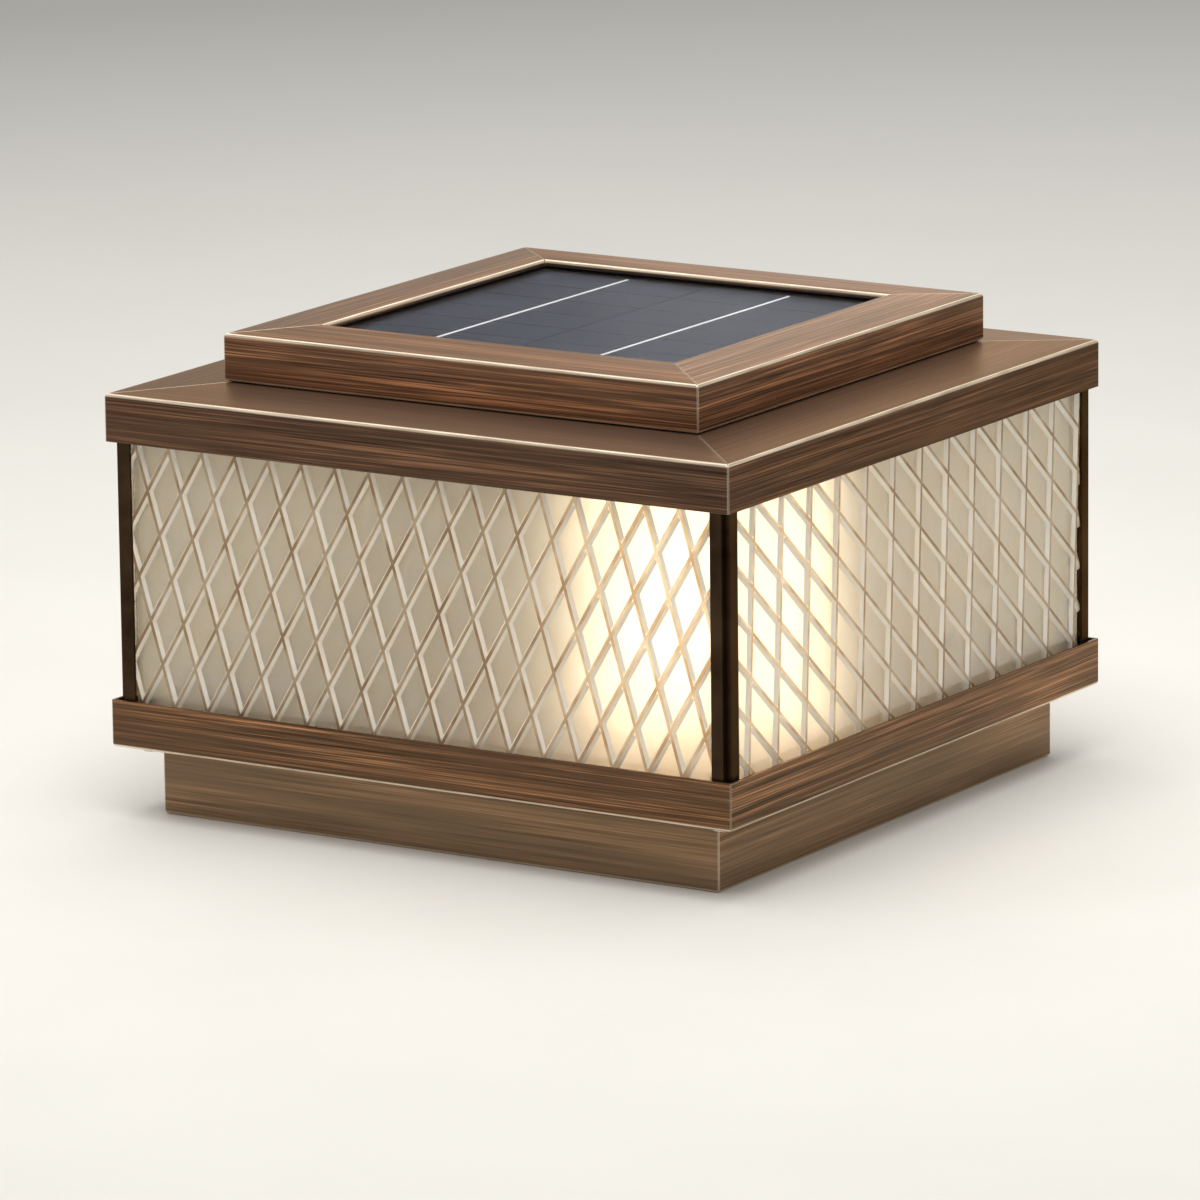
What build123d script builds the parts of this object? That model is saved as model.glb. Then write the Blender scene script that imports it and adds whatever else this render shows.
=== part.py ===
from build123d import *
import math
import os

# Square solar pillar light, in millimetres, with +Z up.
# The origin is the centre of the plinth's underside, which stands on the pillar.
# The front pane faces -Y and the right pane faces +X.

# Lantern envelope
LANTERN_WIDTH = 300.0
PLINTH_SETBACK = 15.0
PLINTH_HEIGHT = 30.0
BAND_HEIGHT = 20.0
GLASS_HEIGHT = 109.0
RIM_HEIGHT = 20.0
ROOF_RISE = 2.0

# Solar head envelope
FRAME_SETBACK = 35.5
FRAME_HEIGHT = 20.0
FRAME_RISE = 1.7
FRAME_BORDER = 30.0
FRAME_RETURN = 3.0
COLLAR_SETBACK = 9.5
HEAD_GAP = 0.3

# Folded sheets
CANOPY_SHEET = 1.0
FRAME_SHEET = 1.0
TRAY_SHEET = 1.2
PLINTH_SHEET = 1.2
PLINTH_FLANGE = 16.0
BEND_RADIUS = 1.6
END_LEG_SHARE = 0.9
INNER_LEG_SHARE = 0.45

# Clearances
FIT = 0.3
SCREW_FIT = 0.1
TRIM_FIT = 0.1
LAMP_FIT = 0.2
BUTTON_FIT = 0.25

# Screws
SCREW_RADIUS = 2.0
HEAD_RADIUS = 3.6
HEAD_HEIGHT = 2.4
SMALL_SCREW_RADIUS = 1.5
SMALL_HEAD_RADIUS = 2.8
SMALL_HEAD_HEIGHT = 1.8
RECESS_WIDTH = 0.9
RECESS_REACH = 0.6
TIP_SETBACK = 0.2

# Base plate and its anchors
BASE_PLATE = 2.0
ANCHOR_SPACING = 160.0
ANCHOR_HOLE_RADIUS = 3.5
ACCESS_HOLE_RADIUS = 9.0
BASE_SCREW_SPREAD = 40.0
FLOOR_SCREW_LENGTH = 6.0

# Corner posts
POST_INSET = 2.3
POST_FLANGE = 8.0
POST_NOTCH = 2.6
POST_WALL = 1.2
POST_WEB = 1.4
POST_BOSS_RADIUS = 3.4
POST_BOSS_LENGTH = 11.0
POST_SCREW_DEPTH = 9.0

# Panes and their diamond ribs
PANE_THICKNESS = 2.7
PANE_BORDER = 2.0
PANE_PLAY = 0.5
RIB_HEIGHT = 1.5
RIB_TOP = 1.4
RIB_BASE = 3.4
LATTICE_ROWS = 6
FRONT_PITCH = 16.4
FRONT_LEAN = -2.7
FRONT_ANCHOR = -137.3
FRONT_RISE = -1.5
SIDE_PITCH = 22.0
SIDE_LEAN = 10.0
SIDE_ANCHOR = -129.4
SIDE_RISE = 1.9
SMALLEST_POCKET = 6.0

# Glazing frames
CHANNEL_WALL = 2.0
CHANNEL_WEB = 2.0
CHANNEL_SETBACK = 10.0
GASKET_THICKNESS = 1.0
CORNER_BLOCK_MARGIN = 0.8
LEDGE_WIDTH = 12.0
LEDGE_THICKNESS = 3.0
STUD_RADIUS = 2.0
STUD_SPREAD = 70.0
STUD_TAIL = 2.0
NUT_ACROSS_FLATS = 7.0
NUT_HEIGHT = 3.2

# Weather trim on the canopy's collar
TRIM_WALL = 1.2
TRIM_THICKNESS = 2.0
TRIM_LEG = 5.0

# Solar panel
PANEL_RECESS = 2.7
PANEL_LAP = 3.5
SEAL_THICKNESS = 0.5
SEAL_WIDTH = 2.6
COVER_GLASS = 2.0
CELL_MARGIN = 4.5
CELL_COLUMNS = 2
CELL_ROWS = 6
CELL_SPACING = 0.8
CELL_THICKNESS = 0.3
RIBBON_WIDTH = 1.4
RIBBON_THICKNESS = 0.2
BACKBOARD = 1.6
PAD_THICKNESS = 1.0
PAD_WIDTH = 10.0
PAD_INSET = 6.0

# Head tray
HEAD_TRAY = 2.5
TRAY_GAP = 0.5
STANDOFF_RADIUS = 3.5
STANDOFF_GAP = 2.5
STANDOFF_THREAD = 4.0

# Engine housing with battery, controller and switch
ENGINE_WALL = 2.0
ENGINE_EDGE_GAP = 5.0
COVER_PLATE = 2.5
COVER_GAP = 1.0
BOSS_RADIUS = 3.4
BOSS_INSET = 2.2
BOSS_THREAD = 10.0
EAR_WIDTH = 12.0
EAR_LENGTH = 9.0
EAR_THICKNESS = 3.0
EAR_SPREAD = 30.0
BATTERY_RADIUS = 9.2
BATTERY_LENGTH = 65.2
BATTERY_PLAY = 0.3
HOLDER_WALL = 1.8
HOLDER_BASE = 2.0
HOLDER_GAP = 1.0
CONTACT_THICKNESS = 0.8
CONTACT_WIDTH = 10.0
CONTACT_DROP = 5.0
BOARD_WIDTH = 34.0
BOARD_LEAD_MARGIN = 2.3
BOARD_THICKNESS = 1.6
BOARD_GAP = 3.0
BOARD_DROP = 5.0
BOARD_POST_RADIUS = 2.6
BOARD_POST_INSET = 4.0
BOARD_LEAD_ROOM = 6.0
LEAD_RADIUS = 0.8
LEAD_SPACING = 4.0
LEAD_Y = 20.0
LEAD_BEND = 3.0
GROMMET_RADIUS = 4.5
GROMMET_FLANGE = 1.5
GROMMET_FLANGE_THICKNESS = 0.8
SWITCH_RADIUS = 6.0
SWITCH_HEIGHT = 13.0
SWITCH_GAP = 1.5
SWITCH_LEAD_REACH = 6.0
BEZEL_RADIUS = 8.5
BEZEL_THICKNESS = 1.5
BUTTON_RADIUS = 3.6
BUTTON_LIP = 0.8
BUTTON_LIP_HEIGHT = 2.0
BUTTON_PROUD = 2.5
BUTTON_TRAVEL = 1.8
BUTTON_ROUND = 0.8
BUTTON_HEADROOM = 1.5

# Lamp
LAMP_SHARE = 0.37
LAMP_WALL = 2.0
LAMP_Y = -30.0
LAMP_EDGE_GAP = 1.5
LAMP_FLOOR_GAP = 14.0
LAMP_COLLAR_WALL = 2.3
LAMP_COLLAR_DISC = 3.0
LAMP_SOCKET = 10.0
LAMP_SCREW_COUNT = 3
END_CAP = 3.0
END_CAP_PLUG = 4.0
END_CAP_ROUND_SHARE = 0.5
COLUMN_WIDTH = 14.0
COLUMN_FLANGE_RADIUS = 17.0
COLUMN_FLANGE = 3.0
COLUMN_CLEARANCE = 12.0
STRIP_WIDTH = 10.0
STRIP_THICKNESS = 1.2
STRIP_SETBACK = 4.0
CHIP_SIZE = 3.0
CHIP_THICKNESS = 0.8
CHIP_PITCH = 14.0
CABLE_RADIUS = 2.0
CABLE_DROP = 4.0
PLUG_DEPTH = 8.0
PLUG_WIDTH = 9.0

# Parts under the controller board, placed from its middle: chips and blocks as
# (x, y, width, length, height), coil and capacitor as (x, y, radius, height)
SQUARE_PARTS = ((0.0, 0.0, 9.0, 9.0, 1.6), (-8.0, 16.0, 6.0, 5.0, 1.6), (0.0, 32.0, 14.0, 8.0, 6.0))
ROUND_PARTS = ((7.0, 20.0, 5.0, 5.0), (-8.0, -14.0, 3.5, 9.0))

# Half widths, measured from the vertical axis to each face
lantern_half = LANTERN_WIDTH / 2
plinth_half = lantern_half - PLINTH_SETBACK
frame_half = lantern_half - FRAME_SETBACK
window_half = frame_half - FRAME_BORDER
collar_half = frame_half - COLLAR_SETBACK
mouth_half = collar_half - CANOPY_SHEET - TRIM_WALL
post_half = lantern_half - POST_INSET
rib_face = post_half - POST_WALL - FIT
pane_face = rib_face - RIB_HEIGHT
pane_back = pane_face - PANE_THICKNESS
pane_half = pane_back - math.sqrt(2) * (POST_WEB / 2 + FIT)
boss_centre = pane_back - FIT - POST_BOSS_RADIUS
panel_half = window_half + PANEL_LAP
tray_half = frame_half - FRAME_RETURN - TRAY_GAP

# Heights
z_floor = PLINTH_HEIGHT + TRAY_SHEET
z_band = PLINTH_HEIGHT + BAND_HEIGHT
z_eave = z_band + GLASS_HEIGHT
z_rim = z_eave + RIM_HEIGHT
roof_slope = ROOF_RISE / (lantern_half - frame_half)
border_slope = FRAME_RISE / (frame_half - window_half)


def roof(half):
    """Height of the canopy's upper face at a given distance from the axis."""
    return z_rim + roof_slope * (lantern_half - half)


def under_roof(half):
    """Height of the canopy's underside at a given distance from the axis."""
    return roof(half) - CANOPY_SHEET * math.hypot(1.0, roof_slope)


def border(half):
    """Height of the solar frame's top border at a given distance from the axis."""
    return z_frame_top + border_slope * (frame_half - half)


def under_border(half):
    """Height of the underside of the solar frame's border."""
    return border(half) - FRAME_SHEET * math.hypot(1.0, border_slope)


z_frame = roof(frame_half - FRAME_RETURN) + HEAD_GAP
z_frame_top = z_frame + FRAME_HEIGHT
z_crown = border(window_half)
z_panel = z_crown - PANEL_RECESS
z_ribbon = z_panel - COVER_GLASS
z_cell = z_ribbon - RIBBON_THICKNESS
z_backboard_top = z_cell - CELL_THICKNESS
z_backboard = z_backboard_top - BACKBOARD
z_tray_top = z_backboard - PAD_THICKNESS
z_tray = z_tray_top - HEAD_TRAY
z_collar = z_tray - TRIM_THICKNESS

os.makedirs("parts", exist_ok=True)


def save(shape, node):
    """Write one node's solid, or its group of separate solids."""
    export_step(shape, f"parts/{node}.step")


def block(x0, x1, y0, y1, z0, z1):
    """Box between two opposite corners."""
    centre = Pos((x0 + x1) / 2, (y0 + y1) / 2, (z0 + z1) / 2)
    return centre * Box(x1 - x0, y1 - y0, z1 - z0)


def slab(half, z0, z1):
    """Square plate centred on the axis."""
    return block(-half, half, -half, half, z0, z1)


def square_ring(outer, inner, z0, z1):
    """Square plate with a square hole, both given as half widths."""
    return slab(outer, z0, z1) - slab(inner, z0, z1)


def rod(x, y, z0, z1, radius):
    """Upright cylinder."""
    return Pos(x, y, (z0 + z1) / 2) * Cylinder(radius, z1 - z0)


def corners(half):
    """The four corners of a square: front right, back right, back left, front left."""
    return [(half, -half), (half, half), (-half, half), (-half, -half)]


def along_sides(half, spread):
    """Two points on each side of a square, at plus and minus spread."""
    points = []
    for step in (-spread, spread):
        points += [(half, step), (step, half), (-half, step), (step, -half)]
    return points


def turned(shape):
    """The shape repeated on all four sides of the square."""
    return [Rot(0, 0, 90 * quarter) * shape for quarter in range(4)]


def screw(x, y, seat, tip, radius, head_radius, head_height):
    """Pan-head screw with a cross recess: the head rests on seat and the shank ends at tip."""
    way = 1 if seat > tip else -1
    head_end = seat + way * head_height
    shank = rod(x, y, min(seat, tip), max(seat, tip), radius)
    head = rod(x, y, min(seat, head_end), max(seat, head_end), head_radius)
    depth = head_end - way * head_height / 2
    low, high = min(depth, head_end), max(depth, head_end)
    arm = head_radius * RECESS_REACH
    slot = RECESS_WIDTH / 2
    recess = block(x - arm, x + arm, y - slot, y + slot, low, high)
    recess += block(x - slot, x + slot, y - arm, y + arm, low, high)
    return shank + head - recess


def large_screw(x, y, seat, tip):
    """Four-millimetre screw."""
    return screw(x, y, seat, tip, SCREW_RADIUS, HEAD_RADIUS, HEAD_HEIGHT)


def small_screw(x, y, seat, tip):
    """Three-millimetre screw."""
    return screw(x, y, seat, tip, SMALL_SCREW_RADIUS, SMALL_HEAD_RADIUS, SMALL_HEAD_HEIGHT)


def sheet_profile(show, thickness):
    """Outline of a bent sheet: show lists (half width, height) points with the sheet on their left.

    Each fold is rounded on both faces, and its radius is limited by the legs beside it.
    """
    legs = [Vector(*b) - Vector(*a) for a, b in zip(show, show[1:])]
    normals = [Vector(-leg.Y, leg.X).normalized() for leg in legs]
    last = len(show) - 1
    hidden = []
    show_radii = []
    hidden_radii = []
    for index, point in enumerate(show):
        before = normals[max(index - 1, 0)]
        after = normals[min(index, last - 1)]
        shift = (before + after) * (thickness / (1 + before.dot(after)))
        hidden.append((point[0] + shift.X, point[1] + shift.Y))
        if index in (0, last):
            show_radii.append(0.0)
            hidden_radii.append(0.0)
            continue
        rooms = []
        for leg in (index - 1, index):
            share = END_LEG_SHARE if leg in (0, last - 1) else INNER_LEG_SHARE
            rooms.append(share * legs[leg].length)
        outside = min(BEND_RADIUS, *rooms)
        inside = max(outside - thickness, 0.0)
        turns_in = legs[index - 1].cross(legs[index]).Z > 0
        show_radii.append(outside if turns_in else inside)
        hidden_radii.append(inside if turns_in else outside)
    outline = show + hidden[::-1]
    radii = show_radii + hidden_radii[::-1]
    return make_face(FilletPolyline(*outline, radius=radii, close=True))


def sheet_ring(show, thickness):
    """A bent sheet carried round the square, with its four rails mitred at the corners."""
    reach = 2 * max(point[0] for point in show)
    top = 2 * max(point[1] for point in show)
    rail = extrude(Plane.XZ * sheet_profile(show, thickness), amount=reach, both=True)
    wedge = make_face(Polyline((0, 0), (reach, -reach), (reach, reach), close=True))
    rail = rail & extrude(wedge, amount=top)
    return Part() + turned(rail)


# Plinth: a folded sleeve with a lip below and a flange above.
z_plinth_top = PLINTH_HEIGHT
flange_end = plinth_half - PLINTH_FLANGE
flange_mid = plinth_half - PLINTH_FLANGE / 2
base_screw_points = along_sides(flange_mid, BASE_SCREW_SPREAD)
screw_hole = SCREW_RADIUS + SCREW_FIT
small_hole = SMALL_SCREW_RADIUS + SCREW_FIT
plinth = sheet_ring(
    [(flange_end, 0), (plinth_half, 0), (plinth_half, z_plinth_top), (flange_end, z_plinth_top)],
    PLINTH_SHEET,
)
plinth -= [rod(x, y, 0, z_plinth_top, screw_hole) for x, y in base_screw_points]
save(plinth, "plinth")

# Base plate: lies on the plinth's lip and is anchored to the pillar.
z_base = PLINTH_SHEET + BASE_PLATE
anchor_points = corners(ANCHOR_SPACING / 2)
base_plate = slab(plinth_half - max(PLINTH_SHEET, BEND_RADIUS) - FIT, PLINTH_SHEET, z_base)
base_plate -= [rod(x, y, 0, z_base, ANCHOR_HOLE_RADIUS) for x, y in anchor_points]
base_plate -= [rod(x, y, 0, z_base, screw_hole) for x, y in base_screw_points]
save(base_plate, "base_plate")
base_screws = [large_screw(x, y, z_base, TIP_SETBACK) for x, y in base_screw_points]
save(Compound(base_screws), "base_plate_screws")

# Floor tray: the lower band and the lantern's floor, with holes to reach the anchors.
floor_tray = sheet_ring(
    [(flange_end, PLINTH_HEIGHT), (lantern_half, PLINTH_HEIGHT), (lantern_half, z_band)],
    TRAY_SHEET,
)
floor_tray += slab(flange_end, PLINTH_HEIGHT, z_floor)
floor_tray -= [rod(x, y, PLINTH_HEIGHT, z_floor, ACCESS_HOLE_RADIUS) for x, y in anchor_points]
floor_tray -= [rod(x, y, PLINTH_HEIGHT, z_floor, screw_hole) for x, y in base_screw_points]
floor_tray -= [rod(x, y, PLINTH_HEIGHT, z_floor, screw_hole) for x, y in corners(boss_centre)]
save(floor_tray, "floor_tray")
floor_screws = []
for x, y in base_screw_points:
    floor_screws.append(large_screw(x, y, z_floor, z_floor - FLOOR_SCREW_LENGTH))
save(Compound(floor_screws), "floor_screws")

# Glazing frames: channels that hold the panes' edges, solid at the corners.
channel_inner = pane_back - FIT - CHANNEL_WALL
channel_outer = lantern_half - max(TRAY_SHEET, CANOPY_SHEET, BEND_RADIUS) - FIT
groove_half = pane_half + FIT
groove_front = rib_face + FIT
groove_back = pane_back - FIT
block_inner = boss_centre - POST_BOSS_RADIUS - CORNER_BLOCK_MARGIN


def glazing_bar(z0, z1, groove0, groove1):
    """Square bar with a groove on each side and a block inside each corner."""
    bar = square_ring(channel_outer, channel_inner, z0, z1)
    inner_block = block(block_inner, groove_back, -groove_back, -block_inner, z0, z1)
    bar = bar + turned(inner_block)
    groove = block(-groove_half, groove_half, -groove_front, -groove_back, groove0, groove1)
    return bar - turned(groove)


def gasket(z0, z1):
    """Four strips, one in the bottom of each groove."""
    return Compound(turned(block(-pane_half, pane_half, -rib_face, -pane_back, z0, z1)))


z_channel = z_band - CHANNEL_SETBACK
z_sill = z_floor + CHANNEL_WEB
lower_frame = glazing_bar(z_floor, z_channel, z_sill, z_channel)
lower_frame -= [rod(x, y, z_floor, z_channel, screw_hole) for x, y in corners(boss_centre)]
save(lower_frame, "lower_glazing_frame")
z_pane = z_sill + GASKET_THICKNESS
save(gasket(z_sill, z_pane), "lower_pane_gaskets")

z_head = z_eave + CHANNEL_SETBACK
z_ring = under_roof(lantern_half - CANOPY_SHEET) - FIT
z_lintel = z_ring - CHANNEL_WEB
ledge_inner = channel_inner - LEDGE_WIDTH
stud_half = channel_inner - LEDGE_WIDTH / 2
z_ledge = z_ring - LEDGE_THICKNESS
z_bore = z_ring - HEAD_HEIGHT - FIT
stud_points = along_sides(stud_half, STUD_SPREAD)
upper_frame = glazing_bar(z_head, z_ring, z_head, z_lintel)
upper_frame += square_ring(channel_inner, ledge_inner, z_ledge, z_ring)
upper_frame -= [rod(x, y, z_head, z_ring, screw_hole) for x, y in corners(boss_centre)]
upper_frame -= [rod(x, y, z_bore, z_ring, HEAD_RADIUS + FIT) for x, y in corners(boss_centre)]
upper_frame -= [rod(x, y, z_ledge, z_ring, STUD_RADIUS + SCREW_FIT) for x, y in stud_points]
save(upper_frame, "upper_glazing_frame")
z_pane_top = z_lintel - GASKET_THICKNESS - PANE_PLAY
save(gasket(z_lintel - GASKET_THICKNESS, z_lintel), "upper_pane_gaskets")

# Corner posts: a folded strip with a re-entrant corner, and a web with a screw boss at each end.
flange_start = post_half - POST_FLANGE
notch = post_half - POST_NOTCH
notch_back = notch - POST_WALL
flange_back = post_half - POST_WALL
strip = make_face(
    Polyline(
        (flange_start, post_half),
        (notch, post_half),
        (notch, notch),
        (post_half, notch),
        (post_half, flange_start),
        (flange_back, flange_start),
        (flange_back, notch_back),
        (notch_back, notch_back),
        (notch_back, flange_back),
        (flange_start, flange_back),
        close=True,
    )
)
web_length = math.sqrt(2) * (notch - boss_centre)
web_middle = (notch + boss_centre) / 2
web = Pos(web_middle, web_middle) * Rot(0, 0, 45) * Rectangle(web_length, POST_WEB)
boss = Pos(boss_centre, boss_centre) * Circle(POST_BOSS_RADIUS)
bore = Pos(boss_centre, boss_centre) * Circle(screw_hole)
post = extrude(Pos(0, 0, z_channel) * strip, amount=z_head - z_channel)
for z in (z_channel, z_head - POST_BOSS_LENGTH):
    post += extrude(Pos(0, 0, z) * (web + boss - bore), amount=POST_BOSS_LENGTH)
post_names = ("back_right", "back_left", "front_left", "front_right")
for name, shape in zip(post_names, turned(post)):
    save(shape, f"post_{name}")

post_screws = []
for x, y in corners(boss_centre):
    post_screws.append(large_screw(x, y, PLINTH_HEIGHT, z_channel + POST_SCREW_DEPTH))
save(Compound(post_screws), "lower_post_screws")
post_screws = [large_screw(x, y, z_bore, z_head - POST_SCREW_DEPTH) for x, y in corners(boss_centre)]
save(Compound(post_screws), "upper_post_screws")

# Panes: pressed glass whose outer face carries crossing ribs that leave diamond pockets.
row = GLASS_HEIGHT / LATTICE_ROWS
face_plane = Plane(origin=(0, -rib_face, 0), x_dir=(1, 0, 0), z_dir=(0, 1, 0))


def diamond(corner, rib_right, rib_left, inset):
    """Corner points of one lattice cell, drawn in by inset from the middle of its ribs."""
    area = abs(rib_right[0] * rib_left[1] - rib_right[1] * rib_left[0])
    across = inset * math.hypot(*rib_left) / area
    along = inset * math.hypot(*rib_right) / area
    points = []
    for p, q in ((across, along), (1 - across, along), (1 - across, 1 - along), (across, 1 - along)):
        u = corner[0] + p * rib_right[0] + q * rib_left[0]
        down = corner[1] + p * rib_right[1] + q * rib_left[1]
        points.append((u, down))
    return points


def on_pane(points, depth):
    """Face through the points, set back by depth from the tops of the ribs."""
    return face_plane.offset(depth) * make_face(Polyline(*points, close=True))


def lattice_pane(pitch, lean, anchor, rise):
    """Front pane with ribs that step sideways by half a pitch plus or minus the lean on each row.

    One rib crossing lies at anchor from the pane's middle, and rise above the band's top edge.
    """
    rib_right = (pitch / 2 + lean, row)
    rib_left = (-pitch / 2 + lean, row)
    z_start = z_band + rise
    edge = pane_half - PANE_BORDER
    low = z_pane + PANE_BORDER
    high = z_pane_top - PANE_BORDER
    window = block(-edge, edge, -rib_face, -pane_face, low, high)
    first_row = math.floor((z_start - high) / row) - 2
    last_row = math.ceil((z_start - low) / row)
    reach = math.ceil((pane_half + abs(anchor)) / pitch) - 2 * first_row + last_row
    pockets = []
    for line in range(first_row, last_row + 1):
        for column in range(-reach, reach + 1):
            corner = (anchor + column * pitch + line * rib_right[0], line * row - z_start)
            outer = diamond(corner, rib_right, rib_left, RIB_TOP / 2)
            left, right = min(u for u, down in outer), max(u for u, down in outer)
            bottom, top = -max(down for u, down in outer), -min(down for u, down in outer)
            if right < -edge or left > edge or top < low or bottom > high:
                continue
            inner = diamond(corner, rib_right, rib_left, RIB_BASE / 2)
            pocket = loft([on_pane(outer, 0), on_pane(inner, RIB_HEIGHT)], ruled=True)
            if left < -edge or right > edge or bottom < low or top > high:
                pocket = pocket & window
                if not pocket or pocket.volume < SMALLEST_POCKET:
                    continue
            pockets.append(pocket)
    plate = block(-pane_half, pane_half, -rib_face, -pane_back, z_pane, z_pane_top)
    return plate - pockets


front_pane = lattice_pane(FRONT_PITCH, FRONT_LEAN, FRONT_ANCHOR, FRONT_RISE)
side_pane = Rot(0, 0, 90) * lattice_pane(SIDE_PITCH, SIDE_LEAN, SIDE_ANCHOR, SIDE_RISE)
half_turn = Rot(0, 0, 180)
save(front_pane, "pane_front")
save(half_turn * front_pane, "pane_back")
save(side_pane, "pane_right")
save(half_turn * side_pane, "pane_left")

# Canopy: rim, sloping roof and an upstand collar round the opening.
canopy = sheet_ring(
    [
        (lantern_half, z_eave),
        (lantern_half, z_rim),
        (collar_half, roof(collar_half)),
        (collar_half, z_collar),
    ],
    CANOPY_SHEET,
)
save(canopy, "canopy")
z_nut = z_ledge - NUT_HEIGHT
z_stud_top = under_roof(stud_half + STUD_RADIUS)
studs = [rod(x, y, z_nut - STUD_TAIL, z_stud_top, STUD_RADIUS) for x, y in stud_points]
save(Compound(studs), "canopy_studs")
hexagon = RegularPolygon(NUT_ACROSS_FLATS / 2, 6, major_radius=False)
nut = extrude(hexagon - Circle(STUD_RADIUS + SCREW_FIT), amount=NUT_HEIGHT)
save(Compound([Pos(x, y, z_nut) * nut for x, y in stud_points]), "canopy_nuts")

# Collar trim: a U-shaped weather seal pushed onto the collar, on which the head rests.
trim = square_ring(collar_half + TRIM_WALL, mouth_half, z_collar - TRIM_LEG, z_tray)
sheet_outer = collar_half + TRIM_FIT
sheet_inner = collar_half - CANOPY_SHEET - TRIM_FIT
trim -= square_ring(sheet_outer, sheet_inner, z_collar - TRIM_LEG, z_collar)
save(trim, "collar_trim")

# Solar frame: walls, sloping border and the lip that holds the panel down.
solar_frame = sheet_ring(
    [
        (frame_half - FRAME_RETURN, z_frame),
        (frame_half, z_frame),
        (frame_half, z_frame_top),
        (window_half, z_crown),
        (window_half, z_panel + SEAL_THICKNESS),
    ],
    FRAME_SHEET,
)
save(solar_frame, "solar_frame")

# Solar panel: glass, ribbons, two columns of cells in series and a backboard.
seal = square_ring(window_half + SEAL_WIDTH, window_half, z_panel, z_panel + SEAL_THICKNESS)
save(seal, "panel_seal")
save(slab(panel_half, z_ribbon, z_panel), "panel_glass")
cell_area = 2 * (window_half - CELL_MARGIN)
cell_width = cell_area / CELL_COLUMNS
cell_length = cell_area / CELL_ROWS
cells = []
ribbons = []
for column in range(CELL_COLUMNS):
    x = (column - (CELL_COLUMNS - 1) / 2) * cell_width
    ribbon = Box(RIBBON_WIDTH, cell_area, RIBBON_THICKNESS)
    ribbons.append(Pos(x, 0, z_cell + RIBBON_THICKNESS / 2) * ribbon)
    for line in range(CELL_ROWS):
        y = (line - (CELL_ROWS - 1) / 2) * cell_length
        cell = Box(cell_width - CELL_SPACING, cell_length - CELL_SPACING, CELL_THICKNESS)
        cells.append(Pos(x, y, z_cell - CELL_THICKNESS / 2) * cell)
save(Compound(ribbons), "cell_ribbons")
save(Compound(cells), "solar_cells")
save(slab(panel_half, z_backboard, z_backboard_top), "panel_backboard")
pad_edge = panel_half - PAD_INSET
pad_half = pad_edge - 2 * PAD_WIDTH
pad = block(-pad_half, pad_half, -pad_edge, PAD_WIDTH - pad_edge, z_tray_top, z_backboard)
save(Compound(turned(pad)), "panel_pads")

# Layout of the engine housing, from the left edge of the canopy's mouth to the right.
engine_left = -(mouth_half - ENGINE_EDGE_GAP)
room_left = engine_left + ENGINE_WALL
holder_left = room_left + HOLDER_GAP
battery_step = 2 * BATTERY_RADIUS + 2 * BATTERY_PLAY + HOLDER_WALL
battery_x = [holder_left + HOLDER_WALL + BATTERY_PLAY + BATTERY_RADIUS]
battery_x.append(battery_x[0] + battery_step)
holder_right = battery_x[1] + BATTERY_RADIUS + BATTERY_PLAY + HOLDER_WALL
holder_half = BATTERY_LENGTH / 2 + CONTACT_THICKNESS + HOLDER_WALL
board_left = holder_right + BOARD_GAP
board_right = board_left + BOARD_WIDTH
room_right = board_right + 2 * BOSS_RADIUS + HOLDER_GAP
engine_right = room_right + ENGINE_WALL
switch_x = (holder_left + holder_right) / 2
switch_y = -(holder_half + SWITCH_GAP + SWITCH_RADIUS)
last_lead_y = LEAD_SPACING / 2 - switch_y
board_half = last_lead_y + BOARD_LEAD_MARGIN
room_half = max(holder_half + 2 * (SWITCH_RADIUS + SWITCH_GAP), board_half + BOARD_GAP)
engine_half = room_half + ENGINE_WALL
z_ceiling = z_tray - ENGINE_WALL
z_battery = z_ceiling - HOLDER_BASE - BATTERY_PLAY - BATTERY_RADIUS
z_cover_top = z_battery - BATTERY_RADIUS - BATTERY_PLAY - COVER_GAP
z_cover = z_cover_top - COVER_PLATE
z_board_top = z_ceiling - BOARD_DROP
z_board = z_board_top - BOARD_THICKNESS
z_cable = z_board - CABLE_DROP
engine_x = (engine_left + engine_right) / 2
lead_x = (board_left + board_right) / 2
boss_points = []
for x in (room_left + BOSS_INSET, room_right - BOSS_INSET):
    for y in (-room_half + BOSS_INSET, room_half - BOSS_INSET):
        boss_points.append((x, y))
board_points = []
post_left_y = last_lead_y - LEAD_SPACING - BOARD_LEAD_ROOM
post_right_y = board_half - BOARD_POST_INSET
for side in (-1, 1):
    board_points.append((board_left + BOARD_POST_INSET, side * post_left_y))
    board_points.append((board_right - BOARD_POST_INSET, side * post_right_y))
ear_points = []
for x in (engine_x - EAR_SPREAD, engine_x + EAR_SPREAD):
    for y in (-engine_half - EAR_LENGTH / 2, engine_half + EAR_LENGTH / 2):
        ear_points.append((x, y))

# Layout of the lamp, against the right edge of the mouth.
lamp_radius = LAMP_SHARE * mouth_half
lamp_inner = lamp_radius + LAMP_FIT
lamp_collar_radius = lamp_inner + LAMP_COLLAR_WALL
lamp_screw_circle = (COLUMN_FLANGE_RADIUS + lamp_inner) / 2
lamp_x = mouth_half - LAMP_EDGE_GAP - lamp_collar_radius
z_lamp = z_floor + LAMP_FLOOR_GAP
z_lamp_disc = z_tray - LAMP_COLLAR_DISC
z_tube_top = z_cable - CABLE_RADIUS - FIT
z_lamp_collar = z_tube_top - LAMP_SOCKET
z_tube = z_lamp + END_CAP
lamp_screw_points = []
for index in range(LAMP_SCREW_COUNT):
    angle = 2 * math.pi * index / LAMP_SCREW_COUNT
    x = lamp_x + lamp_screw_circle * math.cos(angle)
    y = LAMP_Y + lamp_screw_circle * math.sin(angle)
    lamp_screw_points.append((x, y))

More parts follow.
